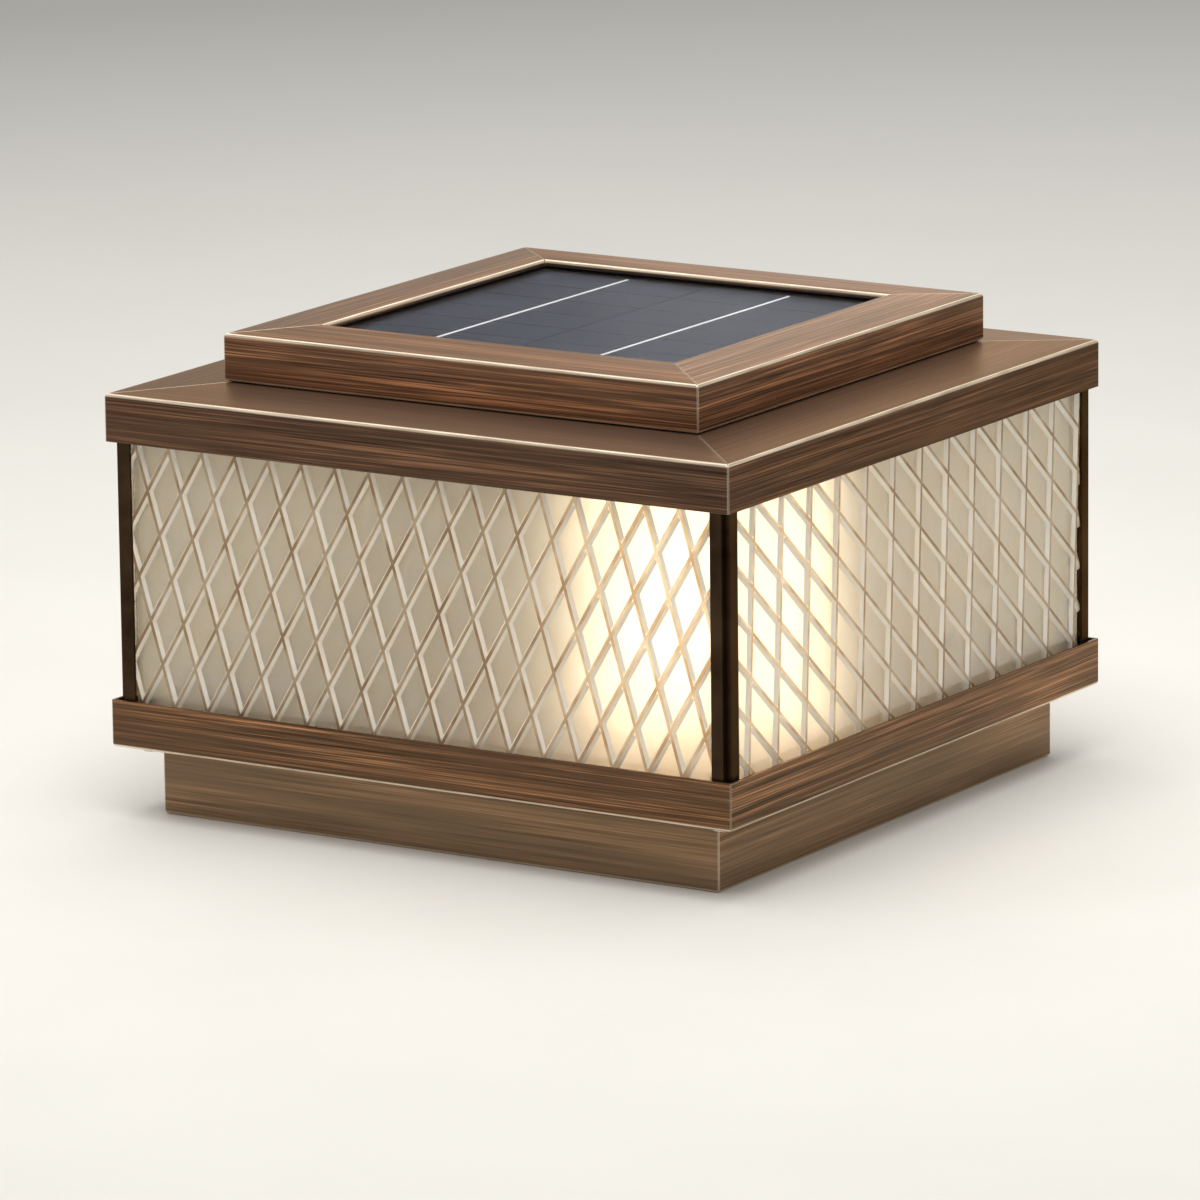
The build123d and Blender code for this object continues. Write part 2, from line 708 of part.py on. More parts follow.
# Head tray: closes the solar frame from below and carries the housing and the lamp.
standoff_half = panel_half + STANDOFF_RADIUS + STANDOFF_GAP
z_standoff = under_border(standoff_half + STANDOFF_RADIUS)
standoff_points = corners(standoff_half)
z_small_tip = z_tray_top - TIP_SETBACK
head_tray = slab(tray_half, z_tray, z_tray_top)
head_tray -= [rod(x, y, z_tray, z_tray_top, screw_hole) for x, y in standoff_points]
head_tray -= [rod(x, y, z_tray, z_small_tip, small_hole) for x, y in ear_points]
head_tray -= [rod(x, y, z_tray, z_small_tip, small_hole) for x, y in lamp_screw_points]
head_tray -= rod(lead_x, LEAD_Y, z_tray, z_tray_top, GROMMET_RADIUS + SCREW_FIT)
save(head_tray, "head_tray")
standoffs = []
tray_screws = []
z_thread = z_tray_top + STANDOFF_THREAD
for x, y in standoff_points:
    tapped = rod(x, y, z_tray_top, z_thread + TIP_SETBACK, screw_hole)
    standoffs.append(rod(x, y, z_tray_top, z_standoff, STANDOFF_RADIUS) - tapped)
    tray_screws.append(large_screw(x, y, z_tray, z_thread))
save(Compound(standoffs), "frame_standoffs")
save(Compound(tray_screws), "tray_screws")

# Engine housing: a box that opens downwards, with bosses, board posts and ears.
housing = block(engine_left, engine_right, -engine_half, engine_half, z_cover_top, z_tray)
housing -= block(room_left, room_right, -room_half, room_half, z_cover_top, z_ceiling)
housing += [rod(x, y, z_cover_top, z_ceiling, BOSS_RADIUS) for x, y in boss_points]
housing += [rod(x, y, z_board_top, z_ceiling, BOARD_POST_RADIUS) for x, y in board_points]
z_ear = z_tray - EAR_THICKNESS
for x, y in ear_points:
    ear = Pos(x, y, (z_ear + z_tray) / 2) * Box(EAR_WIDTH, EAR_LENGTH, EAR_THICKNESS)
    housing += ear - rod(x, y, z_ear, z_tray, small_hole)
z_boss_thread = z_cover_top + BOSS_THREAD
housing -= [rod(x, y, z_cover_top, z_boss_thread + TIP_SETBACK, small_hole) for x, y in boss_points]
housing -= [rod(x, y, z_board_top, z_ceiling, small_hole) for x, y in board_points]
housing -= rod(lead_x, LEAD_Y, z_ceiling, z_tray, GROMMET_RADIUS + SCREW_FIT)
cable_hole = Pos(room_right + ENGINE_WALL / 2, LAMP_Y, z_cable) * Rot(0, 90, 0)
housing -= cable_hole * Cylinder(CABLE_RADIUS + SCREW_FIT, ENGINE_WALL)
save(housing, "engine_housing")
z_screw_tip = z_small_tip - TIP_SETBACK
housing_screws = [small_screw(x, y, z_ear, z_screw_tip) for x, y in ear_points]
save(Compound(housing_screws), "housing_screws")

# Battery: two cells in a cradle, with a contact at each end.
holder = block(holder_left, holder_right, -holder_half, holder_half, z_battery, z_ceiling)
batteries = []
contacts = []
for x in battery_x:
    lying = Pos(x, 0, z_battery) * Rot(90, 0, 0)
    nest_radius = BATTERY_RADIUS + BATTERY_PLAY
    holder -= lying * Cylinder(nest_radius, BATTERY_LENGTH + 2 * CONTACT_THICKNESS)
    batteries.append(lying * Cylinder(BATTERY_RADIUS, BATTERY_LENGTH))
    wide = CONTACT_WIDTH / 2
    for end in (-1, 1):
        near = end * BATTERY_LENGTH / 2
        far = near + end * CONTACT_THICKNESS
        low, high = min(near, far), max(near, far)
        contact_low = z_battery - CONTACT_DROP
        contacts.append(block(x - wide, x + wide, low, high, contact_low, z_battery + CONTACT_DROP))
save(holder, "battery_holder")
save(Compound(batteries), "battery_cells")
save(Compound(contacts), "battery_contacts")

# Controller board with its parts on the underside.
board = block(board_left, board_right, -board_half, board_half, z_board, z_board_top)
board -= [rod(x, y, z_board, z_board_top, small_hole) for x, y in board_points]
save(board, "controller_board")
board_screws = [small_screw(x, y, z_board, z_ceiling - TIP_SETBACK) for x, y in board_points]
save(Compound(board_screws), "board_screws")
plug_near = LAMP_Y - PLUG_WIDTH / 2
plug_far = LAMP_Y + PLUG_WIDTH / 2
plug = block(board_right - PLUG_DEPTH, board_right, plug_near, plug_far, z_board - PLUG_DEPTH, z_board)
components = [plug]
for x, y, width, length, height in SQUARE_PARTS:
    components.append(Pos(lead_x + x, y, z_board - height / 2) * Box(width, length, height))
for x, y, radius, height in ROUND_PARTS:
    components.append(rod(lead_x + x, y, z_board - height, z_board, radius))
save(Compound(components), "board_components")

# Leads from the panel straight down to the board, through a grommet.
grommet = rod(lead_x, LEAD_Y, z_ceiling, z_tray_top, GROMMET_RADIUS)
grommet_flange = GROMMET_RADIUS + GROMMET_FLANGE
grommet += rod(lead_x, LEAD_Y, z_tray_top, z_tray_top + GROMMET_FLANGE_THICKNESS, grommet_flange)
panel_leads = []
for side in (-1, 1):
    x = lead_x + side * LEAD_SPACING / 2
    grommet -= rod(x, LEAD_Y, z_ceiling, z_backboard, LEAD_RADIUS + SCREW_FIT)
    panel_leads.append(rod(x, LEAD_Y, z_board_top, z_backboard, LEAD_RADIUS))
save(grommet, "lead_grommet")
save(Compound(panel_leads), "panel_leads")

# Engine cover with the switch, its bezel and the button.
cover = block(engine_left, engine_right, -engine_half, engine_half, z_cover, z_cover_top)
cover -= [rod(x, y, z_cover, z_cover_top, small_hole) for x, y in boss_points]
cover -= rod(switch_x, switch_y, z_cover, z_cover_top, SWITCH_RADIUS + SCREW_FIT)
save(cover, "engine_cover")
cover_screws = [small_screw(x, y, z_cover, z_boss_thread) for x, y in boss_points]
save(Compound(cover_screws), "cover_screws")
z_switch = z_cover + SWITCH_HEIGHT
lip_radius = BUTTON_RADIUS + BUTTON_LIP
z_lip = z_cover + BUTTON_LIP_HEIGHT
z_switch_bore = z_lip + BUTTON_TRAVEL + BUTTON_HEADROOM
switch_body = rod(switch_x, switch_y, z_cover, z_switch, SWITCH_RADIUS)
switch_body -= rod(switch_x, switch_y, z_cover, z_switch_bore, lip_radius + BUTTON_FIT)
save(switch_body, "switch_body")
z_bezel = z_cover - BEZEL_THICKNESS
bezel = rod(switch_x, switch_y, z_bezel, z_cover, BEZEL_RADIUS)
bezel -= rod(switch_x, switch_y, z_bezel, z_cover, BUTTON_RADIUS + BUTTON_FIT)
save(bezel, "switch_bezel")
button = rod(switch_x, switch_y, z_bezel - BUTTON_PROUD, z_lip, BUTTON_RADIUS)
button = fillet(button.edges().sort_by(Axis.Z)[0], BUTTON_ROUND)
button += rod(switch_x, switch_y, z_cover, z_lip, lip_radius)
save(button, "button_cap")
switch_leads = []
z_lead = z_board_top + LEAD_RADIUS
for side in (-1, 1):
    y = switch_y + side * LEAD_SPACING / 2
    path = FilletPolyline(
        (switch_x, y, z_switch),
        (switch_x, y, z_lead),
        (board_left + SWITCH_LEAD_REACH, y, z_lead),
        radius=LEAD_BEND,
    )
    switch_leads.append(sweep(Pos(switch_x, y, z_switch) * Circle(LEAD_RADIUS), path=path))
save(Compound(switch_leads), "switch_leads")

# Lamp collar: a cup under the tray that takes the opal tube.
lamp_collar = rod(lamp_x, LAMP_Y, z_lamp_collar, z_tray, lamp_collar_radius)
lamp_collar -= rod(lamp_x, LAMP_Y, z_lamp_collar, z_lamp_disc, lamp_inner)
lamp_collar -= [rod(x, y, z_lamp_disc, z_tray, small_hole) for x, y in lamp_screw_points]
cable_mouth = Pos(lamp_x - lamp_collar_radius, LAMP_Y, z_cable) * Rot(0, 90, 0)
lamp_collar -= cable_mouth * Cylinder(CABLE_RADIUS + SCREW_FIT, lamp_collar_radius)
save(lamp_collar, "lamp_collar")
lamp_screws = [small_screw(x, y, z_lamp_disc, z_screw_tip) for x, y in lamp_screw_points]
save(Compound(lamp_screws), "lamp_screws")
tube = rod(lamp_x, LAMP_Y, z_tube, z_tube_top, lamp_radius)
tube -= rod(lamp_x, LAMP_Y, z_tube, z_tube_top, lamp_radius - LAMP_WALL)
save(tube, "lamp_tube")
end_cap = rod(lamp_x, LAMP_Y, z_lamp, z_tube, lamp_radius)
end_cap = fillet(end_cap.edges().sort_by(Axis.Z)[0], END_CAP_ROUND_SHARE * END_CAP)
end_cap += rod(lamp_x, LAMP_Y, z_tube, z_tube + END_CAP_PLUG, lamp_radius - LAMP_WALL - LAMP_FIT)
save(end_cap, "lamp_end_cap")

# LED column: a square heat sink with a strip of chips on each side.
z_column = z_tube + END_CAP_PLUG + COLUMN_CLEARANCE
half_column = COLUMN_WIDTH / 2
z_column_flange = z_lamp_disc - COLUMN_FLANGE
column = block(
    lamp_x - half_column, lamp_x + half_column, LAMP_Y - half_column, LAMP_Y + half_column,
    z_column, z_column_flange,
)
column += rod(lamp_x, LAMP_Y, z_column_flange, z_lamp_disc, COLUMN_FLANGE_RADIUS)
save(column, "led_column")
z_strip_top = z_tube_top - STRIP_SETBACK
strip_board = block(
    half_column, half_column + STRIP_THICKNESS, -STRIP_WIDTH / 2, STRIP_WIDTH / 2,
    z_column, z_strip_top,
)
chip_face = half_column + STRIP_THICKNESS
chip_count = int((z_strip_top - z_column) / CHIP_PITCH)
chips = []
for index in range(chip_count):
    z = z_column + (index + 0.5) * (z_strip_top - z_column) / chip_count
    chip = Box(CHIP_THICKNESS, CHIP_SIZE, CHIP_SIZE)
    chips.append(Pos(chip_face + CHIP_THICKNESS / 2, 0, z) * chip)
to_lamp = Pos(lamp_x, LAMP_Y, 0)
save(Compound([to_lamp * shape for shape in turned(strip_board)]), "led_strips")
all_chips = []
for chip in chips:
    all_chips += [to_lamp * shape for shape in turned(chip)]
save(Compound(all_chips), "led_chips")

# LED cable: a straight lead from the board's plug to the column.
cable_start = board_right
cable_end = lamp_x - half_column
cable_middle = Pos((cable_start + cable_end) / 2, LAMP_Y, z_cable)
save(cable_middle * Rot(0, 90, 0) * Cylinder(CABLE_RADIUS, cable_end - cable_start), "led_cable")
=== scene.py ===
import math

import bpy
import numpy as np
from mathutils import Matrix, Vector


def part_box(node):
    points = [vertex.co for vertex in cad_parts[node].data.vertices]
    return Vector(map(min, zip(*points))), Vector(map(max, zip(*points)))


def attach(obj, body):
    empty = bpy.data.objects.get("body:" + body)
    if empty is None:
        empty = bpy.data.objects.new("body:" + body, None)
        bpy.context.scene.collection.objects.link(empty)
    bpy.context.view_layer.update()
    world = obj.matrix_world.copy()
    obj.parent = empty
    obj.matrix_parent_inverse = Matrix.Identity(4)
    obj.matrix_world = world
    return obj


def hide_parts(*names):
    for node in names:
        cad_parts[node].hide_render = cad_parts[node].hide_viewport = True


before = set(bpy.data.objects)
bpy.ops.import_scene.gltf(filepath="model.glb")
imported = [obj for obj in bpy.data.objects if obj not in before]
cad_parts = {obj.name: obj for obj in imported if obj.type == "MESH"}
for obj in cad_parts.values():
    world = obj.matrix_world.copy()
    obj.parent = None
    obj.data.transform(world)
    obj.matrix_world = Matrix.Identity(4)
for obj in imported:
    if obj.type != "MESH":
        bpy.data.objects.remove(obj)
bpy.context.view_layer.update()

bl_info = {
    "name": "Solar Pillar Light",
    "version": (1, 0, 0),
    "blender": (4, 5, 0),
    "location": "View3D > Sidebar > Pillar Light",
    "description": "Dresses the square solar pillar light in bronze sheet, pressed glass and warm light",
    "category": "Object",
}

MM = 0.001
LANTERN = "lantern_body"
HEAD = "solar_head"

# Glass shown between the band and the rim in millimetres, and the rows of diamonds in it
GLASS_SHOWN = 109.0
LATTICE_ROWS = 6


def length(name, description, default):
    """A size in metres, given here in millimetres."""
    return bpy.props.FloatProperty(
        name=name, description=description, default=default * MM, unit="LENGTH", precision=5
    )


def colour(name, description, default):
    """A linear colour."""
    return bpy.props.FloatVectorProperty(
        name=name, description=description, default=default, size=3, subtype="COLOR", min=0.0, max=1.0
    )


def share(name, description, default):
    """A plain number between nothing and one."""
    return bpy.props.FloatProperty(
        name=name, description=description, default=default, min=0.0, max=1.0, subtype="FACTOR"
    )


def tilt(name, description, default):
    """An angle, given here in degrees."""
    return bpy.props.FloatProperty(
        name=name, description=description, default=math.radians(default), subtype="ANGLE"
    )


def watts(name, description, default):
    """The power of a light."""
    return bpy.props.FloatProperty(name=name, description=description, default=default, unit="POWER")


class LanternSizes(bpy.types.PropertyGroup):
    """Sizes of the bronze shells and of the pressed panes, as the solids have them."""

    lantern_half: length("Lantern half width", "Axis to the band and the rim", 150.0)
    plinth_half: length("Plinth half width", "Axis to the plinth's wall", 135.0)
    flange_half: length("Flange edge", "Axis to the inner edge of the plinth's flanges", 119.0)
    collar_half: length("Collar half width", "Axis to the canopy's upstand collar", 105.0)
    frame_half: length("Frame half width", "Axis to the solar frame's wall", 114.5)
    window_half: length("Window half width", "Axis to the edge of the panel window", 84.5)
    plinth_top: length("Plinth top", "Height of the plinth", 30.0)
    band_top: length("Band top", "Height of the lower band's upper edge", 50.0)
    eave: length("Eave", "Height of the rim's lower edge", 159.0)
    rim: length("Rim", "Height of the canopy's outer fold", 179.0)
    roof_rise: length("Roof rise", "How far the roof climbs from the rim to the frame", 2.0)
    frame_height: length("Frame height", "Height of the solar frame's wall", 20.0)
    border_rise: length("Border rise", "How far the frame's border climbs to the window", 1.7)
    frame_return: length("Frame return", "Width of the fold under the frame's wall", 3.0)
    head_gap: length("Head gap", "Shadow gap between the frame and the roof", 0.3)
    lip_drop: length("Lip drop", "Depth of the lip round the window", 2.2)
    collar_top: length("Collar top", "Height of the canopy's upstand", 190.869)
    thin_sheet: length("Thin sheet", "Thickness of the canopy and the frame", 1.0)
    thick_sheet: length("Thick sheet", "Thickness of the plinth and the band", 1.2)
    fold: length("Fold radius", "Radius of the folds", 1.6)
    waviness: length("Waviness", "Height of the slow waves in the flat sheet", 0.03)
    seam_depth: length("Seam depth", "Depth of the mitred corner seams", 0.35)
    seam_width: length("Seam width", "Half width of the mitred corner seams", 0.22)
    hole_centre: length("Access hole place", "Axis to the anchor access holes", 80.0)
    hole_radius: length("Access hole radius", "Radius of the anchor access holes", 9.0)
    pane_half: length("Pane half width", "Half the width of a pane", 140.59)
    pane_low: length("Pane foot", "Height of a pane's lower edge", 34.2)
    pane_high: length("Pane head", "Height of a pane's upper edge", 174.25)
    pane_back: length("Pane back", "Axis to the panes' inner face", 142.0)
    pane_face: length("Pane face", "Axis to the floor of the diamond pockets", 144.7)
    rib_height: length("Rib height", "How far the ribs stand out", 1.5)
    rib_top: length("Rib top", "Half width of a rib's crest", 0.70)
    rib_base: length("Rib base", "Half width of a rib at its foot", 1.70)
    lattice_row: length("Lattice row", "Height from one crossing to the next", GLASS_SHOWN / LATTICE_ROWS)
    front_pitch: length("Front pitch", "Width of a diamond on the front and back panes", 16.4)
    front_lean: length("Front lean", "Sideways step of a row on the front and back panes", -2.7)
    front_anchor: length("Front anchor", "Place of a crossing on the front and back panes", -137.3)
    front_rise: length("Front rise", "Height of that crossing above the band", -1.5)
    side_pitch: length("Side pitch", "Width of a diamond on the side panes", 22.0)
    side_lean: length("Side lean", "Sideways step of a row on the side panes", 10.0)
    side_anchor: length("Side anchor", "Place of a crossing on the side panes", -129.4)
    side_rise: length("Side rise", "Height of that crossing above the band", 1.9)
    facet_dish: length("Facet dish", "How deep each facet is dished", 0.12)
    facet_tilt: length("Facet tilt", "How far each facet leans from true", 0.16)
    ribbon_width: length("Ribbon width", "Width of the cell ribbons", 1.4)
    tube_wall: length("Tube wall", "Thickness of the opal tube", 2.0)
    tube_edge: length("Tube edge", "Width of the slope on the opal tube's edges", 0.4)


class LanternColours(bpy.types.PropertyGroup):
    """Finishes of the lantern."""

    frame_bronze: colour("Frame bronze", "Middle tone of the solar frame", (0.225, 0.115, 0.064))
    canopy_bronze: colour("Canopy bronze", "Middle tone of the canopy", (0.122, 0.068, 0.042))
    band_bronze: colour("Band bronze", "Middle tone of the lower band", (0.155, 0.084, 0.045))
    plinth_bronze: colour("Plinth bronze", "Middle tone of the plinth", (0.255, 0.160, 0.092))
    frame_glance: colour("Frame glance", "Solar frame seen along its surface", (0.84, 0.77, 0.67))
    canopy_glance: colour("Canopy glance", "Canopy seen along its surface", (0.66, 0.49, 0.34))
    base_glance: colour("Base glance", "Band and plinth seen along their surface", (0.97, 0.88, 0.76))
    # Partly real wear and partly painted highlight: the bright colour laid on the folds and beside the
    # mitred seams
    bronze_worn_highlight: colour("Worn edge", "Rubbed folds and seams", (0.930, 0.790, 0.610))
    # Painted sheen: a lighter tone laid on the level tops, standing in for the light they catch
    bronze_top_sheen: colour("Dust", "Dust on level bronze", (0.30, 0.20, 0.14))
    seam_shadow: colour("Seam shadow", "Bottom of the mitred seams", (0.010, 0.006, 0.004))
    glass: colour("Pressed glass", "Tint of the panes", (0.93, 0.90, 0.82))
    glass_pale: colour("Pale glass", "Tint of the panes' paler patches", (0.97, 0.95, 0.89))
    glass_back: colour("Satin back", "Tint of the panes' inner face", (0.98, 0.935, 0.83))
    glass_back_pale: colour("Pale satin", "Tint of the inner face's other patches", (0.95, 0.92, 0.85))
    rib_flank: colour("Rib flank", "Tint of the ribs' sloping sides", (1.0, 0.94, 0.83))
    rib_flank_pale: colour("Pale rib flank", "Tint of the flanks' paler patches", (1.0, 0.97, 0.90))
    # Painted shade: the ribs' crests get a brown tint, with paler patches, in place of the dark bands that
    # refraction gives them
    rib_crest_shade: colour("Rib crest", "Tint of the ribs' flat tops", (0.30, 0.17, 0.07))
    rib_crest_shade_pale: colour("Pale rib crest", "Tint of the tops' paler patches", (0.58, 0.44, 0.27))
    light: colour("Lamp light", "Colour of the lit lamp", (1.0, 0.84, 0.62))
    light_strength: bpy.props.FloatProperty(
        name="Lamp strength", description="Brightness of the lit lamp", default=4.8, min=0.0
    )
    bronze_roughness: share("Bronze roughness", "Roughness of the brushed sheet", 0.31)
    satin: share("Satin", "Roughness of the panes' inner face", 0.62)
    flank: share("Rib satin", "Roughness of the ribs' flanks", 0.60)


class StageSettings(bpy.types.PropertyGroup):
    """Camera, lights and floor."""

    azimuth: tilt("Azimuth", "Camera's turn to the right of the front", 32.312)
    elevation: tilt("Elevation", "Camera's height above the horizon", 12.511)
    roll: tilt("Roll", "Camera's turn about its own axis", -0.667)
    distance: length("Distance", "Camera to the lantern's axis", 3683.375)
    across: length("Across", "Camera's step to the right", -4.362)
    up: length("Up", "Camera's step upwards", 77.564)
    focal: bpy.props.FloatProperty(
        name="Focal length", description="Lens on a 36 mm sensor", default=262.97, unit="CAMERA"
    )
    overhead: watts("Overhead light", "Power of the soft box above the front", 26.0)
    ceiling: watts("Ceiling light", "Power of the large soft box above and behind", 26.0)
    right: watts("Right light", "Power of the soft box on the right", 4.0)
    behind: watts("Back light", "Power of the soft box far behind", 9.0)
    sky: share("Sky", "Strength of the even light all round", 0.53)
    sky_tint: colour("Sky tint", "Colour of the even light all round", (1.0, 0.985, 0.955))
    floor: colour("Floor", "Colour of the pale floor", (0.80, 0.78, 0.73))
    # Painted shade: the floor darkens towards this colour away from the lantern, in place of the light
    # falling off
    far_floor_shade: colour("Far floor", "Colour of the floor away from the lantern", (0.38, 0.375, 0.355))


def sizes():
    """The sizes set in the scene."""
    return bpy.context.scene.pillar_sizes


def colours():
    """The finishes set in the scene."""
    return bpy.context.scene.pillar_colours


# Meshes

# Points closer than this are one
WELD = 0.0004 * MM
# Keeps a division by a length of nothing from failing
TINY = 1e-9
# Edges that turn by more degrees than this stay crisp, on the pieces and on the tube
CRISP = 40.0
TUBE_CRISP = 50.0
# Steps of a fold, of a turned piece and of a hole
FOLD_STEPS = 7
ROUND_STEPS = 96
HOLE_STEPS = 64
# Share of a leg that one fold may take, and the tightest fold on a hidden face
FOLD_SHARE = 0.45
TIGHT_FOLD = 0.02 * MM
# Points of a rail: millimetres from a mitre where the seam is, and a count for the rest
MITRE_STATIONS = (0.0, 0.24, 0.32, 0.42, 0.6, 0.9, 1.5, 3.0, 6.0)
RAIL_STATIONS = 27
# Slow waves of the flat sheet: radians to the metre along it and across it, and from side to side
SLOW_WAVES = ((61.0, 37.0, 2.1), (23.0, -11.0, 1.0))
# Distance over which the waves die away towards a mitre
WAVE_FADE = 12 * MM
# Step along the brushing from one side to the next, so that no two sides are alike
SIDE_SHIFT = 1.7


def grid_quads(rows, columns, closed_rows=False, closed_columns=False):
    """Quads of a grid of points numbered row by row, joined end to end where it is closed."""
    i = np.arange(rows if closed_rows else rows - 1)
    j = np.arange(columns if closed_columns else columns - 1)
    i, j = np.meshgrid(i, j, indexing="ij")
    i_next = (i + 1) % rows
    j_next = (j + 1) % columns
    quads = [i * columns + j, i * columns + j_next, i_next * columns + j_next, i_next * columns + j]
    return np.stack(quads, axis=-1).reshape(-1, 4)


def turn(points, quarters):
    """Points turned by a number of right angles about the vertical axis."""
    c, s = ((1, 0), (0, 1), (-1, 0), (0, -1))[quarters % 4]
    x, y, z = np.moveaxis(points, -1, 0)
    return np.stack([c * x - s * y, s * x + c * y, z], axis=-1)


def weld(points, quads):
    """Makes points in one place one, and finds the corners and faces that close up by it.

    Returns the first point of each place, the places at each face's corners, which corners are
    kept, and which faces.
    """
    grid = np.round(points / WELD).astype(np.int64)
    first, place = np.unique(grid, axis=0, return_index=True, return_inverse=True)[1:]
    corners = place.reshape(-1)[quads]
    kept = corners != np.roll(corners, 1, axis=1)
    distinct = 1 + (np.diff(np.sort(corners, axis=1), axis=1) > 0).sum(axis=1)
    whole = (distinct >= 3) & (distinct == kept.sum(axis=1))
    return first, corners, kept & whole[:, None], whole


def make_piece(name, points, quads, body, finishes, sharp=CRISP, uv=None, marks=None, slots=None):
    """Puts whole arrays into a welded mesh: points, quads, a UV map, point values, finish numbers."""
    first, corners, kept, whole = weld(points, quads)
    counts = kept.sum(axis=1)[whole]
    mesh = bpy.data.meshes.new(name)
    mesh.vertices.add(len(first))
    mesh.vertices.foreach_set("co", np.ascontiguousarray(points[first], np.float32).ravel())
    mesh.loops.add(int(counts.sum()))
    mesh.loops.foreach_set("vertex_index", corners[kept].astype(np.int32))
    mesh.polygons.add(len(counts))
    mesh.polygons.foreach_set("loop_start", (np.cumsum(counts) - counts).astype(np.int32))
    mesh.update(calc_edges=True)
    if uv is not None:
        layer = mesh.uv_layers.new(name="rail")
        layer.data.foreach_set("uv", np.ascontiguousarray(uv[quads][kept], np.float32).ravel())
    for mark, values in (marks or {}).items():
        attribute = mesh.attributes.new(mark, "FLOAT", "POINT")
        attribute.data.foreach_set("value", np.ascontiguousarray(values[first], np.float32))
    if slots is not None:
        mesh.polygons.foreach_set("material_index", slots[whole].astype(np.int32))
    mesh.shade_smooth()
    mesh.set_sharp_from_angle(angle=math.radians(sharp))
    for material in finishes:
        mesh.materials.append(material)
    piece = bpy.data.objects.new(name, mesh)
    bpy.context.scene.collection.objects.link(piece)
    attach(piece, body)
    return piece


def rounded_line(corners, radii, steps):
    """A line through corners with each one rounded by an arc that touches both its legs.

    The arc starts radius * tan(half the turn) before the corner, and its centre lies a radius to
    the side from there. Returns the points and, for each, how far it is into a fold: up to 1 on an
    arc and 0 on a leg.
    """
    corners = np.asarray(corners, float)
    points, bends = [corners[:1]], [np.zeros(1)]
    for before, at, after, radius in zip(corners, corners[1:], corners[2:], radii):
        come = (at - before) / np.linalg.norm(at - before)
        go = (after - at) / np.linalg.norm(after - at)
        bend = math.atan2(come[0] * go[1] - come[1] * go[0], float(come @ go))
        reach = radius * math.tan(abs(bend) / 2)
        left = math.copysign(1.0, bend) * np.array([-come[1], come[0]])
        centre = at - reach * come + radius * left
        angle = np.linspace(0.0, abs(bend), steps)[:, None]
        points.append(centre + radius * (np.sin(angle) * come - np.cos(angle) * left))
        bends.append(np.sin(np.linspace(0.0, math.pi, steps)))
    points.append(corners[-1:])
    bends.append(np.zeros(1))
    return np.concatenate(points), np.concatenate(bends)


def sheet_section(corners, thickness, fold):
    """Closed outline of a bent sheet that lies on the left of its corners.

    The hidden face is the same line moved left by the thickness, with its folds tightened or
    widened by it.
    """
    corners = np.asarray(corners, float)
    legs = np.diff(corners, axis=0)
    lengths = np.linalg.norm(legs, axis=1)
    unit = legs / lengths[:, None]
    normal = np.stack([-unit[:, 1], unit[:, 0]], axis=1)
    before = np.concatenate([normal[:1], normal])
    after = np.concatenate([normal, normal[-1:]])
    hidden = corners + (before + after) * (thickness / (1 + (before * after).sum(1)))[:, None]
    turning = unit[:-1, 0] * unit[1:, 1] - unit[:-1, 1] * unit[1:, 0]
    room = lengths * FOLD_SHARE
    room[[0, -1]] *= 2
    outside = np.minimum(fold, np.minimum(room[:-1], room[1:]))
    inside = np.maximum(outside - thickness, TIGHT_FOLD)
    shown, shown_bend = rounded_line(corners, np.where(turning > 0, outside, inside), FOLD_STEPS)
    back, back_bend = rounded_line(hidden, np.where(turning > 0, inside, outside), FOLD_STEPS)
    return np.concatenate([shown, back[::-1]]), np.concatenate([shown_bend, 0 * back_bend])


def square_shell(corners, thickness):
    """A bent sheet carried round the square with a fine seam at each mitre.

    On each side a point is (r, a * r + b, z) turned to that side, where (r, z) runs round the
    section and (a, b) along the rail. Near a mitre it sinks along the section's normal by
    depth * exp(-(distance / width) ** 2), on the flats it follows slow waves, and it never passes
    the mitre. Returns the points, quads, the map along the rail and the values for folds and seams.
    """
    size = sizes()
    section, bends = sheet_section(corners, thickness, size.fold)
    r, z = section.T
    step = np.roll(section, -1, axis=0) - np.roll(section, 1, axis=0)
    step /= np.maximum(np.linalg.norm(step, axis=1), TINY)[:, None]
    out_r, out_z = step[:, 1], -step[:, 0]
    travel = np.concatenate([[0.0], np.cumsum(np.linalg.norm(np.diff(section, axis=0), axis=1))])
    near = np.array(MITRE_STATIONS) * MM
    middle = np.linspace(-1.0, 1.0, RAIL_STATIONS)[1:-1]
    a = np.concatenate([-np.ones(len(near)), middle, np.ones(len(near) - 1)])
    b = np.concatenate([near, -middle * near[-1], -near[:0:-1]])
    along = a[:, None] * r[None, :] + b[:, None]
    distance = r[None, :] - np.abs(along)
    groove = size.seam_depth * np.exp(-((distance / size.seam_width) ** 2))
    flat = 1 - np.exp(-distance / WAVE_FADE)
    points, rails = [], []
    for side in range(4):
        ripple = sum(np.sin(along * u + travel * v + side * w) for u, v, w in SLOW_WAVES)
        lift = size.waviness * ripple * flat - groove
        x = r + lift * out_r
        y = np.sign(along) * np.minimum(np.abs(along), x)
        points.append(turn(np.stack([x, y, z + lift * out_z], axis=-1), side))
        rails.append(np.stack([along + side * SIDE_SHIFT, travel + 0 * along], axis=-1))
    quads = grid_quads(4 * len(a), len(r), True, True)[:, ::-1]
    marks = {
        "edge": np.tile(bends, 4 * len(a)),
        "seam": np.tile(np.exp(-distance / (2 * size.seam_width)).reshape(-1), 4),
    }
    return np.concatenate(points).reshape(-1, 3), quads, np.concatenate(rails).reshape(-1, 2), marks


